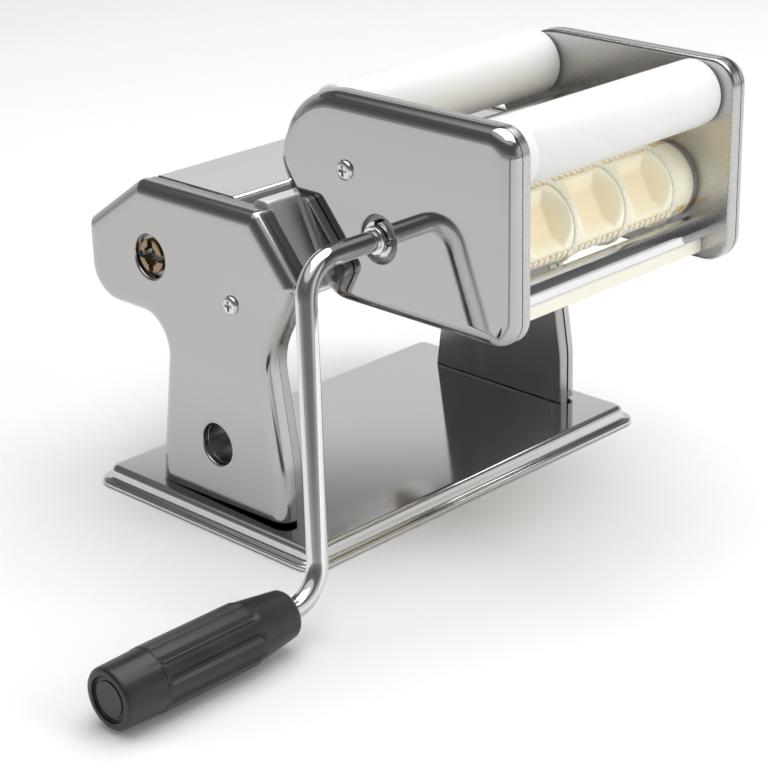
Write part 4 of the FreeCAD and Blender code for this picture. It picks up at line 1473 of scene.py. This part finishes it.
@dataclass
class Attachment:
    """The shells of the ravioli attachment."""

    finishes: Finishes
    face: float = 69.0
    rim: float = 63.0
    plate_web: float = 58.0
    plate_rim: float = 62.6
    cover: Pressing = Pressing(sheet=0.8, edge=5.4, edge_wide=6.6)
    plate: Pressing = Pressing(sheet=1.2, edge=1.3, edge_wide=1.3)
    cover_bend_steps: int = 16
    drive: Hole = Hole(x=74.5, z=129.0, radius=8.8, lip=1.1, depth=2.6)
    strip_sharp: float = 35.0
    # The strip's section as x and z.
    strip_section: tuple[Pair, ...] = (
        (119.6, 115.2), (119.6, 116.0), (122.2, 116.0), (122.7, 115.8), (125.9, 112.9), (126.3, 112.4),
        (126.5, 111.8), (126.5, 108.8), (119.6, 108.8), (119.6, 109.6), (125.5, 109.6), (125.5, 112.0),
        (122.0, 115.0),
    )

    @staticmethod
    def outline() -> list[Corner]:
        """Outline of an attachment side.

        Returns:
            The corners.
        """
        return [
            Corner(33.5, 179.7, 30.0),
            Corner(138.5, 179.7, 10.5),
            Corner(138.5, 99.5, 11.5),
            Corner(45.3, 99.5, 14.0),
            Corner(20.0, 150.5, 14.0),
        ]

    def build(self) -> None:
        """Make the covers and the inner plates."""
        for side, name, holes in ((-1.0, "attachment_crank_cover", (self.drive,)),
                                  (1.0, "attachment_far_cover", ())):
            shell = PressedShell(self.outline(), side * self.face, side * self.rim, self.cover, holes,
                                 bend_steps=self.cover_bend_steps)
            place(shell.build(name + "_look"), "attachment", Finishes.BRIGHT_COVER, self.finishes, name)
        for side, name in ((-1.0, "attachment_crank_plate"), (1.0, "attachment_far_plate")):
            shell = PressedShell(self.outline(), side * self.plate_web, side * self.plate_rim, self.plate)
            place(shell.build(name + "_look"), "attachment", Finishes.INNER, self.finishes, name)
        self.strip()

    def strip(self) -> None:
        """The bright strip in front of the moulds: a flat top, a slanted front and a folded lip."""
        vertices = [(x, side * self.plate_web, z) for side in (-1.0, 1.0) for x, z in self.strip_section]
        count = len(self.strip_section)
        ends: list[Face] = [tuple(range(count)), tuple(range(count, 2 * count))]
        strip = new_piece("front_strip_look", vertices, ends + wrap_faces(2, count), self.strip_sharp)
        place(strip, "attachment", Finishes.CHROME, self.finishes, "front_strip")


@dataclass
class FeedRollers:
    """The two smooth white rollers on top."""

    finishes: Finishes
    radius: float = 13.0
    half: float = 57.6
    height: float = 166.0
    edge: float = 2.0
    seam_at: float = 9.0
    seam_wide: float = 0.5
    seam_deep: float = 0.12
    places: tuple[tuple[str, float], ...] = (("rear_feed", 42.0), ("front_feed", 121.0))

    def build(self) -> None:
        """Make both rollers."""
        for body, x in self.places:
            profile = cylinder_profile(-self.half, self.half, self.radius, self.edge)
            seam = -self.half + self.seam_at
            side = [p for p in profile if p[0] < 0.0]
            side += [(seam - self.seam_wide, self.radius),
                     (seam - self.seam_wide / 2.0, self.radius - self.seam_deep), (seam, self.radius)]
            side += [p for p in profile if p[0] > 0.0]
            roller = lathe(body + "_roller_look", side, x, self.height)
            place(roller, body, Finishes.WHITE, self.finishes, body + "_roller")


@dataclass
class MouldRollers:
    """The moulding rollers: square pockets between toothed rings and ridges."""

    finishes: Finishes
    rings: Arrangement
    drum: float = 15.5
    crest: float = 16.3
    half: float = 56.0
    edge: float = 1.0
    steps_along: int = 230
    steps_round: int = 232
    sharp: float = 42.0
    pitch: float = 29.4
    cells: int = 3
    pockets: int = 3
    teeth: int = 27
    floor: float = 8.6
    floor_long: float = 6.2
    floor_wide: float = 6.2
    slope_long: float = 0.93
    slope_wide: float = 2.282
    least_lean: float = 0.02
    pocket_round: float = 0.45
    lip_round: float = 0.3
    lobe_long: float = 1.75
    lobe_wide: float = 1.62
    lobe_sides: int = 12
    lobe_sharp: float = 60.0
    # Heights over the drum with the share of a lobe's size there.
    lobe_levels: tuple[Pair, ...] = ((-0.35, 1.0), (0.42, 0.97), (0.68, 0.84), (0.80, 0.60))
    # Half width of a ring's band at each height over the drum.
    band: tuple[Pair, ...] = ((1.45, -0.6), (1.35, 0.4), (1.1, 0.58))
    band_steps: int = 112
    ridge_teeth: int = 9
    ridge_share: float = 0.74
    # Depth of full painted shade in a pocket, then reach and fade of the amber painted shade beside a ridge.
    full_shade_depth: float = 5.5
    notch_shade_reach: float = 2.6
    notch_shade_fade: float = 1.2
    tube: DriveTube = DriveTube(mouth=-69.4, bevel=0.1)
    tube_sides: int = 64
    near_end: float = -67.2
    far_end: float = 61.5
    journal_edge: float = 0.3
    height: float = 129.0
    drive_x: float = 74.5
    driven_x: float = 107.5
    phase: float = math.radians(28.0)
    turned: float = 0.0

    def _pocket_radius(self, y: float, angle: float, radius: float) -> float:
        """Radius of the surface, lower where a pocket is.

        Args:
            y: Place along the roller.
            angle: Angle round the roller.
            radius: Radius of the plain roller there.

        Returns:
            The radius with the pocket taken off.
        """
        half_cells = self.cells * self.pitch / 2.0
        if abs(y) > half_cells:
            return radius
        along = abs((y + half_cells) % self.pitch - self.pitch / 2.0)
        quarter = 2.0 * math.pi / self.pockets
        turn = (angle - self.turned + quarter / 2.0) % quarter - quarter / 2.0
        cosine = math.cos(turn)
        sine = abs(math.sin(turn))
        bed = self.floor / cosine
        wall_long = (self.floor + (along - self.floor_long) / self.slope_long) / cosine
        lean = self.slope_wide * cosine - sine
        if lean <= self.least_lean:
            return radius
        wall_wide = (self.slope_wide * self.floor - self.floor_wide) / lean
        deep = soft_max(soft_max(bed, wall_long, self.pocket_round), wall_wide, self.pocket_round)
        return -soft_max(-radius, -deep, self.lip_round)

    def _tooth(self) -> Piece:
        """A low round lobe, its foot at the origin and its top toward +X.

        Returns:
            The shape that is repeated.
        """
        vertices: list[Point] = []
        sides = self.lobe_sides
        for x, share in self.lobe_levels:
            for k in range(sides):
                angle = 2.0 * math.pi * k / sides
                along = self.lobe_long * share * math.cos(angle)
                vertices.append((x, along, self.lobe_wide * share * math.sin(angle)))
        faces = wrap_faces(len(self.lobe_levels), sides)
        faces.append(tuple(range(sides)))
        faces.append(tuple(range(len(vertices) - sides, len(vertices))))
        return new_piece("mould_tooth", vertices, faces, self.lobe_sharp)

    def _bands(self, x: float) -> list[Piece]:
        """Low bands under the toothed rings.

        Args:
            x: Where the axis is.

        Returns:
            One band for each ring.
        """
        bands = []
        for row in range(self.cells + 1):
            y = -self.cells * self.pitch / 2.0 + self.pitch * row
            profile = [(y - half, self.drum + over) for half, over in self.band]
            profile += [(y + half, self.drum + over) for half, over in self.band[::-1]]
            bands.append(lathe("mould_band", profile, x, self.height, self.band_steps))
        return bands

    def build(self) -> None:
        """Make both rollers with their teeth and journals."""
        reach = self.half - self.edge
        journal = self.tube.outer
        profile = [(-self.half, journal)] + rounded_end(-self.half, self.drum, self.edge, -1.0)[:-1]
        for k in range(self.steps_along + 1):
            profile.append((k * 2.0 * reach / self.steps_along - reach, self.drum))
        profile += rounded_end(self.half, self.drum, self.edge, 1.0)[-2::-1] + [(self.half, journal)]
        tooth = self._tooth()
        for name, x, phase in (("drive_mould", self.drive_x, math.pi - self.phase),
                               ("driven_mould", self.driven_x, self.phase)):
            self.turned = phase
            roller = lathe(name + "_roller_look", profile, x, self.height, self.steps_round,
                           self._pocket_radius)
            self._keep_painted_shade(roller, x)
            roller = join_meshes(name + "_roller_look", [roller] + self._bands(x))
            cream = self.finishes.material(Finishes.CREAM)
            start = -self.cells * self.pitch / 2.0
            self.rings.apply(roller, Shape=tooth, Count=self.teeth, Rows=self.cells + 1,
                             Row_Pitch=self.pitch * MM, First_Row=start * MM, Radius=self.drum * MM,
                             Turn=phase, Axis_X=x * MM, Axis_Z=self.height * MM, Material=cream)
            self._ridge_teeth(roller, x, tooth, cream)
            shade(roller, self.sharp)
            place(roller, name, Finishes.CREAM, self.finishes, name + "_roller")
            self._journal(name, x)
        bpy.data.objects.remove(tooth)

    def _ridge_teeth(self, roller: Piece, x: float, tooth: Piece,
                     cream: bpy.types.Material) -> None:
        """Set the teeth of the lengthwise ridges between the pockets.

        Args:
            roller: The roller.
            x: Where its axis is.
            tooth: The tooth of the rings, which is turned a quarter here.
            cream: The material.
        """
        turned = tooth.copy()
        turned.data = tooth.data.copy()
        narrowed = Matrix.Diagonal((1.0, self.ridge_share, 1.0, 1.0))
        turned.data.transform(narrowed @ Matrix.Rotation(math.pi / 2, 4, "X"))
        bpy.context.scene.collection.objects.link(turned)
        rows = self.ridge_teeth * self.cells
        spacing = self.pitch / self.ridge_teeth
        start = -self.cells * self.pitch / 2.0 + spacing / 2.0
        half_pocket = math.pi / self.pockets
        self.rings.apply(roller, Shape=turned, Count=self.pockets, Rows=rows, Row_Pitch=spacing * MM,
                         First_Row=start * MM, Radius=self.drum * MM, Turn=self.turned + half_pocket,
                         Axis_X=x * MM, Axis_Z=self.height * MM, Material=cream)
        bpy.data.objects.remove(turned)

    def _keep_painted_shade(self, roller: Piece, x: float) -> None:
        """Keep on each point its share of painted shade: by how deep it lies, and by how near to a lengthwise
        ridge it is.

        Args:
            roller: The bare roller.
            x: Where its axis is.
        """
        depth = roller.data.attributes.new("depth", "FLOAT", "POINT")
        stain = roller.data.attributes.new("stain", "FLOAT", "POINT")
        quarter = 2.0 * math.pi / self.pockets
        for k, vertex in enumerate(roller.data.vertices):
            across = vertex.co.x / MM - x
            up = vertex.co.z / MM - self.height
            angle = math.atan2(up, across) - self.turned
            off_ridge = abs(angle % quarter - quarter / 2.0) * self.drum
            lower = self.drum - math.hypot(across, up)
            depth.data[k].value = min(max(lower / self.full_shade_depth, 0.0), 1.0)
            # The share of amber painted shade grows toward the feet of the lengthwise ridges.
            stain.data[k].value = min(max((self.notch_shade_reach - off_ridge) / self.notch_shade_fade, 0.0), 1.0)

    def _journal(self, name: str, x: float) -> None:
        """The roller's tube, with jaws and a bore on the driven end of the first.

        Args:
            name: Name of the body.
            x: Where its axis is.
        """
        journal = self.tube.outer
        if name == "drive_mould":
            profile = self.tube.profile() + turned_end(self.far_end, journal, 1.0)[::-1]
            tube = lathe(name + "_tube_look", profile, x, self.height, self.tube_sides)
            jaws = self.tube.jaws(name + "_jaws", x, self.height)
            tube = join_meshes(name + "_tube_look", [tube, jaws])
            shade(tube, SHARP)
        else:
            profile = cylinder_profile(self.near_end, self.far_end, journal, self.journal_edge)
            tube = lathe(name + "_tube_look", profile, x, self.height, self.tube_sides)
        place(tube, name, Finishes.ROLLER, self.finishes)


def soft_max(first: float, second: float, width: float) -> float:
    """The larger of two values, with a rounded change between them.

    Args:
        first: A value.
        second: A value.
        width: Width of the rounding.

    Returns:
        The rounded maximum.
    """
    mix = max(width - abs(first - second), 0.0) / width
    return max(first, second) + mix * mix * width * 0.25


# The crank


@dataclass
class Crank:
    """The bent rod and its black grip."""

    finishes: Finishes
    rod: float = 4.0
    bend: float = 16.0
    drive: Pair = (74.5, 129.0)
    mouth: float = -69.4
    out: float = -106.0
    arm: Point = (96.5, -125.9, 12.8)
    near: float = -142.8
    far: float = -223.4
    inserted: float = 12.0
    held: float = 9.0
    pin_at: float = 2.0
    pin_half: float = 6.0
    pin: float = 1.3
    pin_sides: int = 20
    collar: Pair = (-2.5, -0.5)
    collar_over: float = 1.4
    collar_edge: float = 0.5
    collar_sides: int = 48
    grip_sides: int = 180
    # Throat, shoulder and waist give places behind the near end with their radii.
    throat: tuple[Pair, ...] = ((1.0, 4.3), (0.1, 5.0), (0.0, 8.2), (0.2, 8.75), (0.9, 9.2))
    cone_long: float = 19.7
    cone_rise: float = 2.5
    cone_steps: int = 12
    shoulder: Pair = (20.9, 12.05)
    body_at: float = 21.5
    body_radius: float = 12.1
    body_step: float = 0.8
    body_steps: int = 52
    waist: tuple[Pair, ...] = ((63.2, 12.1), (63.5, 11.85), (64.0, 11.75))
    # Tail and cap give places ahead of the far end with their radii.
    tail: tuple[Pair, ...] = ((2.0, 11.45), (1.0, 11.3), (0.3, 10.8), (0.0, 10.1), (0.0, 8.8), (0.3, 8.45),
                              (1.6, 8.4))
    cap: tuple[Pair, ...] = ((2.2, 8.38), (0.95, 8.38), (0.7, 8.1), (0.65, 7.7), (1.15, 7.5), (1.15, 6.7),
                             (0.65, 6.5), (0.55, 0.0))
    flutes: int = 10
    flutes_start: float = 20.6
    flutes_stop: float = 62.4
    flute_run: float = 1.5
    flute_ease: float = 2.2
    flute_wide: float = 0.42
    flute_deep: float = 1.25

    def build(self) -> None:
        """Make the rod, its pin and collar, and the grip with its cap."""
        x, z = self.drive
        start = Vector((x, self.mouth + self.inserted, z))
        end = Vector((self.arm[0], self.far + self.held, self.arm[2]))
        corners = [start, Vector((x, self.out, z)), Vector(self.arm), end]
        rod = tube_along("crank_rod_bar", bent_route(corners, self.bend), self.rod)
        drops = (-self.pin_half, 0.0, self.pin_half)
        pin_route = [Vector((x, self.mouth + self.pin_at, z + drop)) for drop in drops]
        pin = tube_along("crank_rod_pin", pin_route, self.pin, self.pin_sides)
        low, high = self.collar
        radius = self.rod + self.collar_over
        ring = cylinder_profile(self.mouth + low, self.mouth + high, radius, self.collar_edge)
        collar = lathe("crank_rod_collar", ring, x, z, self.collar_sides)
        rod = join_meshes("crank_rod_look", [rod, pin, collar])
        shade(rod, SHARP)
        place(rod, "crank", Finishes.CHROME, self.finishes, "crank_rod")
        self._grip()

    def _radius(self, y: float, angle: float, radius: float) -> float:
        """Radius of the grip with its flutes.

        Args:
            y: Place along the grip.
            angle: Angle round the grip.
            radius: Radius of the plain grip there.

        Returns:
            The radius with the flute taken off.
        """
        start = self.near - self.flutes_start + self.flute_run
        stop = self.near - self.flutes_stop - self.flute_run
        if not stop < y < start:
            return radius
        ease = min(1.0, (start - y) / self.flute_ease, (y - stop) / self.flute_ease)
        wave = abs((angle * self.flutes / (2.0 * math.pi)) % 1.0 - 0.5) * 2.0
        groove = max(0.0, 1.0 - (wave / self.flute_wide) ** 2)
        return radius - self.flute_deep * ease * groove

    def _grip(self) -> None:
        """The grip and its cap."""
        x, _, z = self.arm
        profile = [(self.near - behind, radius) for behind, radius in self.throat]
        edge, edge_radius = self.throat[-1]
        for k in range(1, self.cone_steps + 1):
            profile.append((self.near - edge - k * self.cone_long / self.cone_steps,
                            edge_radius + k * self.cone_rise / self.cone_steps))
        profile.append((self.near - self.shoulder[0], self.shoulder[1]))
        for k in range(self.body_steps):
            profile.append((self.near - self.body_at - k * self.body_step, self.body_radius))
        profile += [(self.near - behind, radius) for behind, radius in self.waist]
        profile += [(self.far + ahead, radius) for ahead, radius in self.tail]
        grip = lathe("crank_grip_look", profile, x, z, self.grip_sides, self._radius)
        cap = lathe("grip_cap_disc", [(self.far + ahead, radius) for ahead, radius in self.cap], x, z)
        place(grip, "grip", Finishes.GRIP, self.finishes, "crank_grip")
        place(cap, "grip", Finishes.GRIP, self.finishes, "grip_cap")


@dataclass
class ThicknessKnob:
    """The setting knob on the far side, with its numbered dial."""

    finishes: Finishes
    rings: Arrangement
    x: float = -55.41
    z: float = 97.91
    face: float = 89.0
    radius: float = 13.0
    settings: int = 9
    sweep: float = 320.0
    ribs: int = 22
    rib_foot: float = 4.6
    rib_top: float = 17.6
    rib_lead: float = 0.8
    rib_sink: float = 0.9
    rib_thin: float = 0.2
    rib_narrow: float = 0.6
    rib_sharp: float = 60.0
    rib_section: tuple[Pair, ...] = (
        (-1.1, -0.8), (-0.8, 0.3), (-0.3, 0.62), (0.3, 0.62), (0.8, 0.3), (1.1, -0.8),
    )
    wall: float = 0.7
    foot: float = 1.6
    top: float = 107.5
    top_round: float = 1.4
    top_bore: tuple[Pair, ...] = ((0.0, 8.2), (-0.4, 7.7), (-0.9, 7.5))
    shaft: float = 3.7
    # The knob's flange, as heights over its foot with their radii.
    flange: tuple[Pair, ...] = ((0.0, 12.6), (0.4, 13.0), (2.4, 13.0), (2.9, 12.4), (3.4, 12.3))
    cap: tuple[Pair, ...] = ((-1.2, 0.0), (-1.2, 7.45), (-0.7, 7.5), (-0.45, 7.2), (-0.3, 0.0))
    knob_sides: int = 120
    cap_sides: int = 72
    digit_size: float = 3.0
    digit_high: float = 0.05
    digit_over: float = 1.22
    digit_ring: float = 14.4
    digit_top: float = 90.0

    def _rib(self) -> Piece:
        """One rib of the knob's rim, its foot at the origin and its top toward +X.

        Returns:
            The shape that is repeated.
        """
        vertices: list[Point] = []
        low = self.face + self.rib_foot
        high = self.face + self.rib_top
        levels = ((low, self.rib_thin), (low + self.rib_lead, 1.0), (high - self.rib_lead, 1.0),
                  (high, self.rib_thin))
        for y, share in levels:
            narrow = self.rib_narrow + (1.0 - self.rib_narrow) * share
            for z, x in self.rib_section:
                vertices.append((x * share - self.rib_sink * (1.0 - share), y, z * narrow))
        count = len(self.rib_section)
        faces = wrap_faces(len(levels), count)
        faces.append(tuple(range(count)))
        faces.append(tuple(range(len(vertices) - count, len(vertices))))
        return new_piece("knob_rib", vertices, faces, self.rib_sharp)

    def build(self) -> None:
        """Make the knob, its cap and the numbers of the dial."""
        low = self.face + self.foot
        body = self.radius - self.wall
        profile = [(low, self.shaft)] + [(low + over, radius) for over, radius in self.flange]
        profile += rounded_end(self.top, body, self.top_round, 1.0)[::-1]
        profile += [(self.top + y, radius) for y, radius in self.top_bore]
        knob = lathe("adjuster_knob_look", profile, self.x, self.z, self.knob_sides)
        rib = self._rib()
        black = self.finishes.material(Finishes.GRIP)
        self.rings.apply(knob, Shape=rib, Count=self.ribs, Rows=1, Radius=body * MM, Axis_X=self.x * MM,
                         Axis_Z=self.z * MM, Material=black)
        bpy.data.objects.remove(rib)
        place(knob, "knob", Finishes.GRIP, self.finishes, "adjuster_knob")
        disc = [(self.top + y, radius) for y, radius in self.cap]
        cap = lathe("knob_cap_look", disc, self.x, self.z, self.cap_sides)
        place(cap, "knob", Finishes.SCREW, self.finishes, "knob_cap")
        self._numbers()

    def _numbers(self) -> None:
        """Plain numbers on the dial, one for each setting."""
        digits = []
        for step in range(self.settings):
            curve = bpy.data.curves.new("dial_digit", "FONT")
            curve.body = str(step + 1)
            curve.size = self.digit_size * MM
            curve.align_x = "CENTER"
            curve.align_y = "CENTER"
            curve.extrude = self.digit_high * MM
            digit = add_object("dial_digit", curve)
            bpy.context.view_layer.update()
            graph = bpy.context.evaluated_depsgraph_get()
            mesh = bpy.data.meshes.new_from_object(digit.evaluated_get(graph))
            angle = math.radians(self.digit_top - step * self.sweep / (self.settings - 1))
            spot = Vector((self.x - self.digit_ring * math.cos(angle), self.face + self.digit_over,
                           self.z + self.digit_ring * math.sin(angle))) * MM
            upright = Matrix.Rotation(math.pi, 4, "Z") @ Matrix.Rotation(math.pi / 2, 4, "X")
            mesh.transform(Matrix.Translation(spot) @ upright @ Matrix.Rotation(angle - math.pi / 2, 4, "Z"))
            bpy.data.objects.remove(digit)
            bpy.data.curves.remove(curve)
            digits.append(add_object("dial_digit", mesh))
        numbers = join_meshes("dial_numbers", digits)
        place(numbers, "machine", Finishes.PRINT, self.finishes)


# The studio


@dataclass
class Studio:
    """Pale floor with a painted dark reflection, soft light and the camera."""

    camera_at: Point = (605.9, -603.3, 380.4)
    azimuth: float = 44.78
    elevation: float = 22.25
    roll: float = -1.41
    lens: float = 102.25
    floor_reach: float = 8.0
    paper: Pair = (0.86, 0.88)
    # Painted reflection: tone, apex, spread, root, soft edge and share of the dark wedge that bright metal
    # sees in the floor instead of paper.
    reflection_shade_tone: Tone = (0.20, 0.20, 0.205)
    reflection_shade_from: Pair = (0.09, -0.11)
    reflection_shade_spread: float = 0.10
    reflection_shade_root: float = 0.005
    reflection_shade_soft: Pair = (-0.02, 0.03)
    reflection_shade_share: float = 0.75
    diagonal: float = 0.7071
    # Tones of the room's two walls from the floor up to the ceiling.
    behind: tuple[Pair, ...] = (
        (0.0, 0.90), (0.30, 0.95), (0.400, 0.92), (0.425, 0.32), (0.66, 0.14), (0.82, 0.45), (1.0, 0.85),
    )
    ahead: tuple[Pair, ...] = (
        (0.0, 0.55), (0.12, 0.24), (0.40, 0.15), (0.66, 0.20), (0.74, 0.80), (1.0, 0.90),
    )
    front: Point = (0.2, -0.98, 0.0)
    front_soft: float = 0.3
    room_light: float = 0.8

    def floor(self) -> None:
        """A wide pale floor, with a painted dark reflection: its colour for mirror rays only is darkened in a
        wedge in front of the set.
        """
        mesh = bpy.data.meshes.new("studio_floor")
        reach = self.floor_reach
        mesh.from_pydata([(-reach, -reach, 0), (reach, -reach, 0), (reach, reach, 0), (-reach, reach, 0)], [],
                         [(0, 1, 2, 3)])
        ground = add_object("studio_floor", mesh)
        shader = Shader("pale_floor")
        shader.set(Roughness=0.7, Specular_IOR_Level=0.2)
        low, high = self.paper
        patches = shader.spread(shader.noise([3.0] * 3, 2.0), 0.0, 1.0)
        paper = shader.blend(patches, (low, low, low, 1.0), (high, high, high, 1.0))
        # Painted reflection: mirror rays see the floor dark in the wedge, other rays see pale paper.
        painted_reflection = shader.blend(self._painted_reflection_shade(shader), (low, low, low, 1.0), (*self.reflection_shade_tone, 1.0))
        mirrored = shader.tree.nodes.new("ShaderNodeLightPath").outputs["Is Glossy Ray"]
        shader.link(shader.blend(mirrored, paper, painted_reflection), "Base Color")
        mesh.materials.append(shader.material)

    def _painted_reflection_shade(self, shader: Shader) -> Socket:
        """Where bright metal mirrors a painted dark reflection instead of white paper: a soft wedge in front
        of the set, painted into the floor's colour for mirror rays only.

        Args:
            shader: The floor's shader.

        Returns:
            The share of painted dark reflection, from 0 to 1.
        """
        split = shader.tree.nodes.new("ShaderNodeSeparateXYZ")
        shader.tree.links.new(shader.where, split.inputs[0])
        x = shader.maths("SUBTRACT", split.outputs["X"], self.reflection_shade_from[0])
        y = shader.maths("SUBTRACT", split.outputs["Y"], self.reflection_shade_from[1])
        ahead = shader.maths("MULTIPLY", shader.maths("SUBTRACT", x, y), self.diagonal)
        aside = shader.maths("ABSOLUTE", shader.maths("MULTIPLY", shader.maths("ADD", x, y), self.diagonal))
        reach = shader.maths("ADD", shader.maths("MULTIPLY", ahead, self.reflection_shade_spread), self.reflection_shade_root)
        inside = shader.maths("SUBTRACT", reach, aside)
        soft = shader.tree.nodes.new("ShaderNodeMapRange")
        soft.inputs["From Min"].default_value = self.reflection_shade_soft[0]
        soft.inputs["From Max"].default_value = self.reflection_shade_soft[1]
        shader.tree.links.new(inside, soft.inputs["Value"])
        front = shader.maths("GREATER_THAN", ahead, 0.0)
        shaded = shader.maths("MULTIPLY", soft.outputs["Result"], front)
        return shader.maths("MULTIPLY", shaded, self.reflection_shade_share)

    def lamp(self, name: str, at: Point, toward: Point, size: Pair, power: float,
             mirrored: bool = True) -> None:
        """An area light.

        Args:
            name: Name of the light.
            at: Where it stands, in metres.
            toward: Where it looks.
            size: Its width and height.
            power: Its power in watts.
            mirrored: Whether polished metal mirrors it.
        """
        light = bpy.data.lights.new(name, "AREA")
        light.shape = "RECTANGLE"
        light.size, light.size_y = size
        light.energy = power
        lamp = add_object(name, light)
        lamp.visible_glossy = mirrored
        lamp.location = at
        lamp.rotation_euler = (Vector(toward) - Vector(at)).to_track_quat("-Z", "Y").to_euler()

    def world(self) -> None:
        """A grey room: a bright wall behind, darker toward the front and lighter above."""
        world = bpy.data.worlds.new("grey_room")
        bpy.context.scene.world = world
        world.use_nodes = True
        tree = world.node_tree
        where = tree.nodes.new("ShaderNodeTexCoord")
        split = tree.nodes.new("ShaderNodeSeparateXYZ")
        tree.links.new(where.outputs["Generated"], split.inputs[0])
        walls = []
        for tones in (self.behind, self.ahead):
            ramp = tree.nodes.new("ShaderNodeValToRGB")
            for element, (position, tone) in zip(ramp.color_ramp.elements, (tones[0], tones[-1])):
                element.position = position
                element.color = (tone, tone, tone, 1.0)
            for position, tone in tones[1:-1]:
                ramp.color_ramp.elements.new(position).color = (tone, tone, tone, 1.0)
            tree.links.new(split.outputs["Z"], ramp.inputs["Fac"])
            walls.append(ramp.outputs["Color"])
        toward = tree.nodes.new("ShaderNodeVectorMath")
        toward.operation = "DOT_PRODUCT"
        toward.inputs[1].default_value = self.front
        tree.links.new(where.outputs["Generated"], toward.inputs[0])
        front = tree.nodes.new("ShaderNodeMapRange")
        front.inputs["From Min"].default_value = -self.front_soft
        front.inputs["From Max"].default_value = self.front_soft
        tree.links.new(toward.outputs["Value"], front.inputs["Value"])
        mix = tree.nodes.new("ShaderNodeMix")
        mix.data_type = "RGBA"
        tree.links.new(front.outputs["Result"], mix.inputs["Factor"])
        tree.links.new(walls[0], mix.inputs[6])
        tree.links.new(walls[1], mix.inputs[7])
        tree.links.new(mix.outputs[2], tree.nodes["Background"].inputs["Color"])
        tree.nodes["Background"].inputs["Strength"].default_value = self.room_light

    def camera(self) -> None:
        """The camera at the photograph's angle."""
        lens = bpy.data.cameras.new("view")
        lens.lens = self.lens
        lens.sensor_width = 36.0
        lens.clip_start = 0.01
        camera = add_object("view", lens)
        camera.location = Vector(self.camera_at) * MM
        az = math.radians(self.azimuth)
        el = math.radians(self.elevation)
        aim = Vector((-math.sin(az) * math.cos(el), math.cos(az) * math.cos(el), -math.sin(el)))
        turn = aim.to_track_quat("-Z", "Y").to_matrix().to_4x4()
        camera.rotation_euler = (turn @ Matrix.Rotation(math.radians(self.roll), 4, "Z")).to_euler()
        bpy.context.scene.camera = camera
        bpy.context.scene.view_settings.view_transform = "Standard"

    def build(self) -> None:
        """Set up the whole studio."""
        self.floor()
        self.world()
        self.camera()
        self.lamp("overhead", (0.1, 0.3, 1.5), (0.0, 0.0, 0.0), (1.8, 1.8), 23.0)
        self.lamp("front_left", (-1.3, -1.4, 0.9), (0.0, 0.0, 0.08), (1.2, 1.0), 8.0, False)
        self.lamp("right", (1.6, 0.4, 0.8), (0.05, 0.0, 0.10), (0.8, 1.2), 11.0, False)


COVER_SCREW: Point = (14.4, 94.5, 89.0)
ATTACHMENT_SCREW: Point = (58.5, 152.0, 69.0)
CAD_DRESS: tuple[tuple[str, str, object, float], ...] = (
    ("rubber_feet", "machine", Finishes.RUBBER, 0.3),
    ("base_screws", "machine", Finishes.SCREW, 0.1),
    ("clamp_sockets", "machine", Finishes.FRAME, 0.2),
    ("tie_rods", "machine", Finishes.FRAME, 0.0),
    ("tie_rod_nuts", "machine", Finishes.SCREW, 0.15),
    ("top_plate", "machine", Finishes.TOP, 0.0),
    ("guide_panel", "machine", Finishes.GUIDE, 0.0),
    ("guide_channels", "machine", Finishes.FRAME, 0.1),
    ("roller_bushes", "machine", Finishes.BRONZE, 0.1),
    ("fixed_scraper", "machine", Finishes.FRAME, 0.0),
    ("adjuster_bearing", "machine", Finishes.FRAME, 0.1),
    ("dial_plate", "machine", Finishes.GRIP, 0.1),
    ("fixed_roller_gear", "fixed_roller", Finishes.GEAR, 0.0),
    ("bearing_blocks", "cradle", Finishes.BRONZE, 0.1),
    ("cradle_bar", "cradle", Finishes.FRAME, 0.0),
    ("moving_roller_gear", "moving_roller", Finishes.GEAR, 0.0),
    ("adjuster_shaft", "adjuster", Finishes.GEAR, 0.0),
    ("knob_spring", "adjuster", Finishes.GEAR, 0.0),
    ("mould_bushes", "attachment", Finishes.WHITE, 0.3),
    ("feed_axles", "attachment", Finishes.FRAME, 0.1),
    ("attachment_rod", "attachment", Finishes.FRAME, 0.0),
    ("front_comb", "attachment", Finishes.BAR, 0.2),
    ("rear_comb", "attachment", Finishes.BAR, 0.2),
    ("outlet_bar", "attachment", Finishes.BAR, 0.2),
    ("hook_plate", "attachment", Finishes.FRAME, 0.1),
    ("drive_mould_gear", "drive_mould", Finishes.WHITE, 0.0),
    ("driven_mould_gear", "driven_mould", Finishes.WHITE, 0.0),
    ("grip_retainer", "crank", Finishes.SCREW, 0.1),
)


def seats_on_both_sides(x: float, z: float, face: float) -> list[tuple[Point, Point]]:
    """Screw seats on a pair of covers.

    Args:
        x: Where the screw is.
        z: Where the screw is.
        face: Distance of the covers from the middle plane.

    Returns:
        A seat on each cover, with its turn.
    """
    return [((x, -face, z), (math.pi / 2, 0.0, 0.0)), ((x, face, z), (-math.pi / 2, 0.0, 0.0))]


def main() -> None:
    """Build the pieces in order."""
    logging.basicConfig(level=logging.INFO, format="%(name)s: %(message)s")
    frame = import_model()
    finishes = Finishes()
    rings = ring_arrangement()
    Studio().build()
    Machine(finishes).build()
    SheetRollers(finishes).build()
    Attachment(finishes).build()
    FeedRollers(finishes).build()
    MouldRollers(finishes, rings).build()
    Crank(finishes).build()
    ThicknessKnob(finishes, rings).build()
    screws = Screws(finishes)
    screws.set("cover_screws_look", seats_on_both_sides(*COVER_SCREW), "machine", "cover_screws", 5)
    screws.set("attachment_screws_look", seats_on_both_sides(*ATTACHMENT_SCREW), "attachment",
               "attachment_screws", 9)
    twins = SmoothNode(frame, finishes)
    for node, body, finish, soft in CAD_DRESS:
        twins.dress(node, body, finish, soft)
    bpy.context.view_layer.update()


if __name__ == "__main__":
    main()
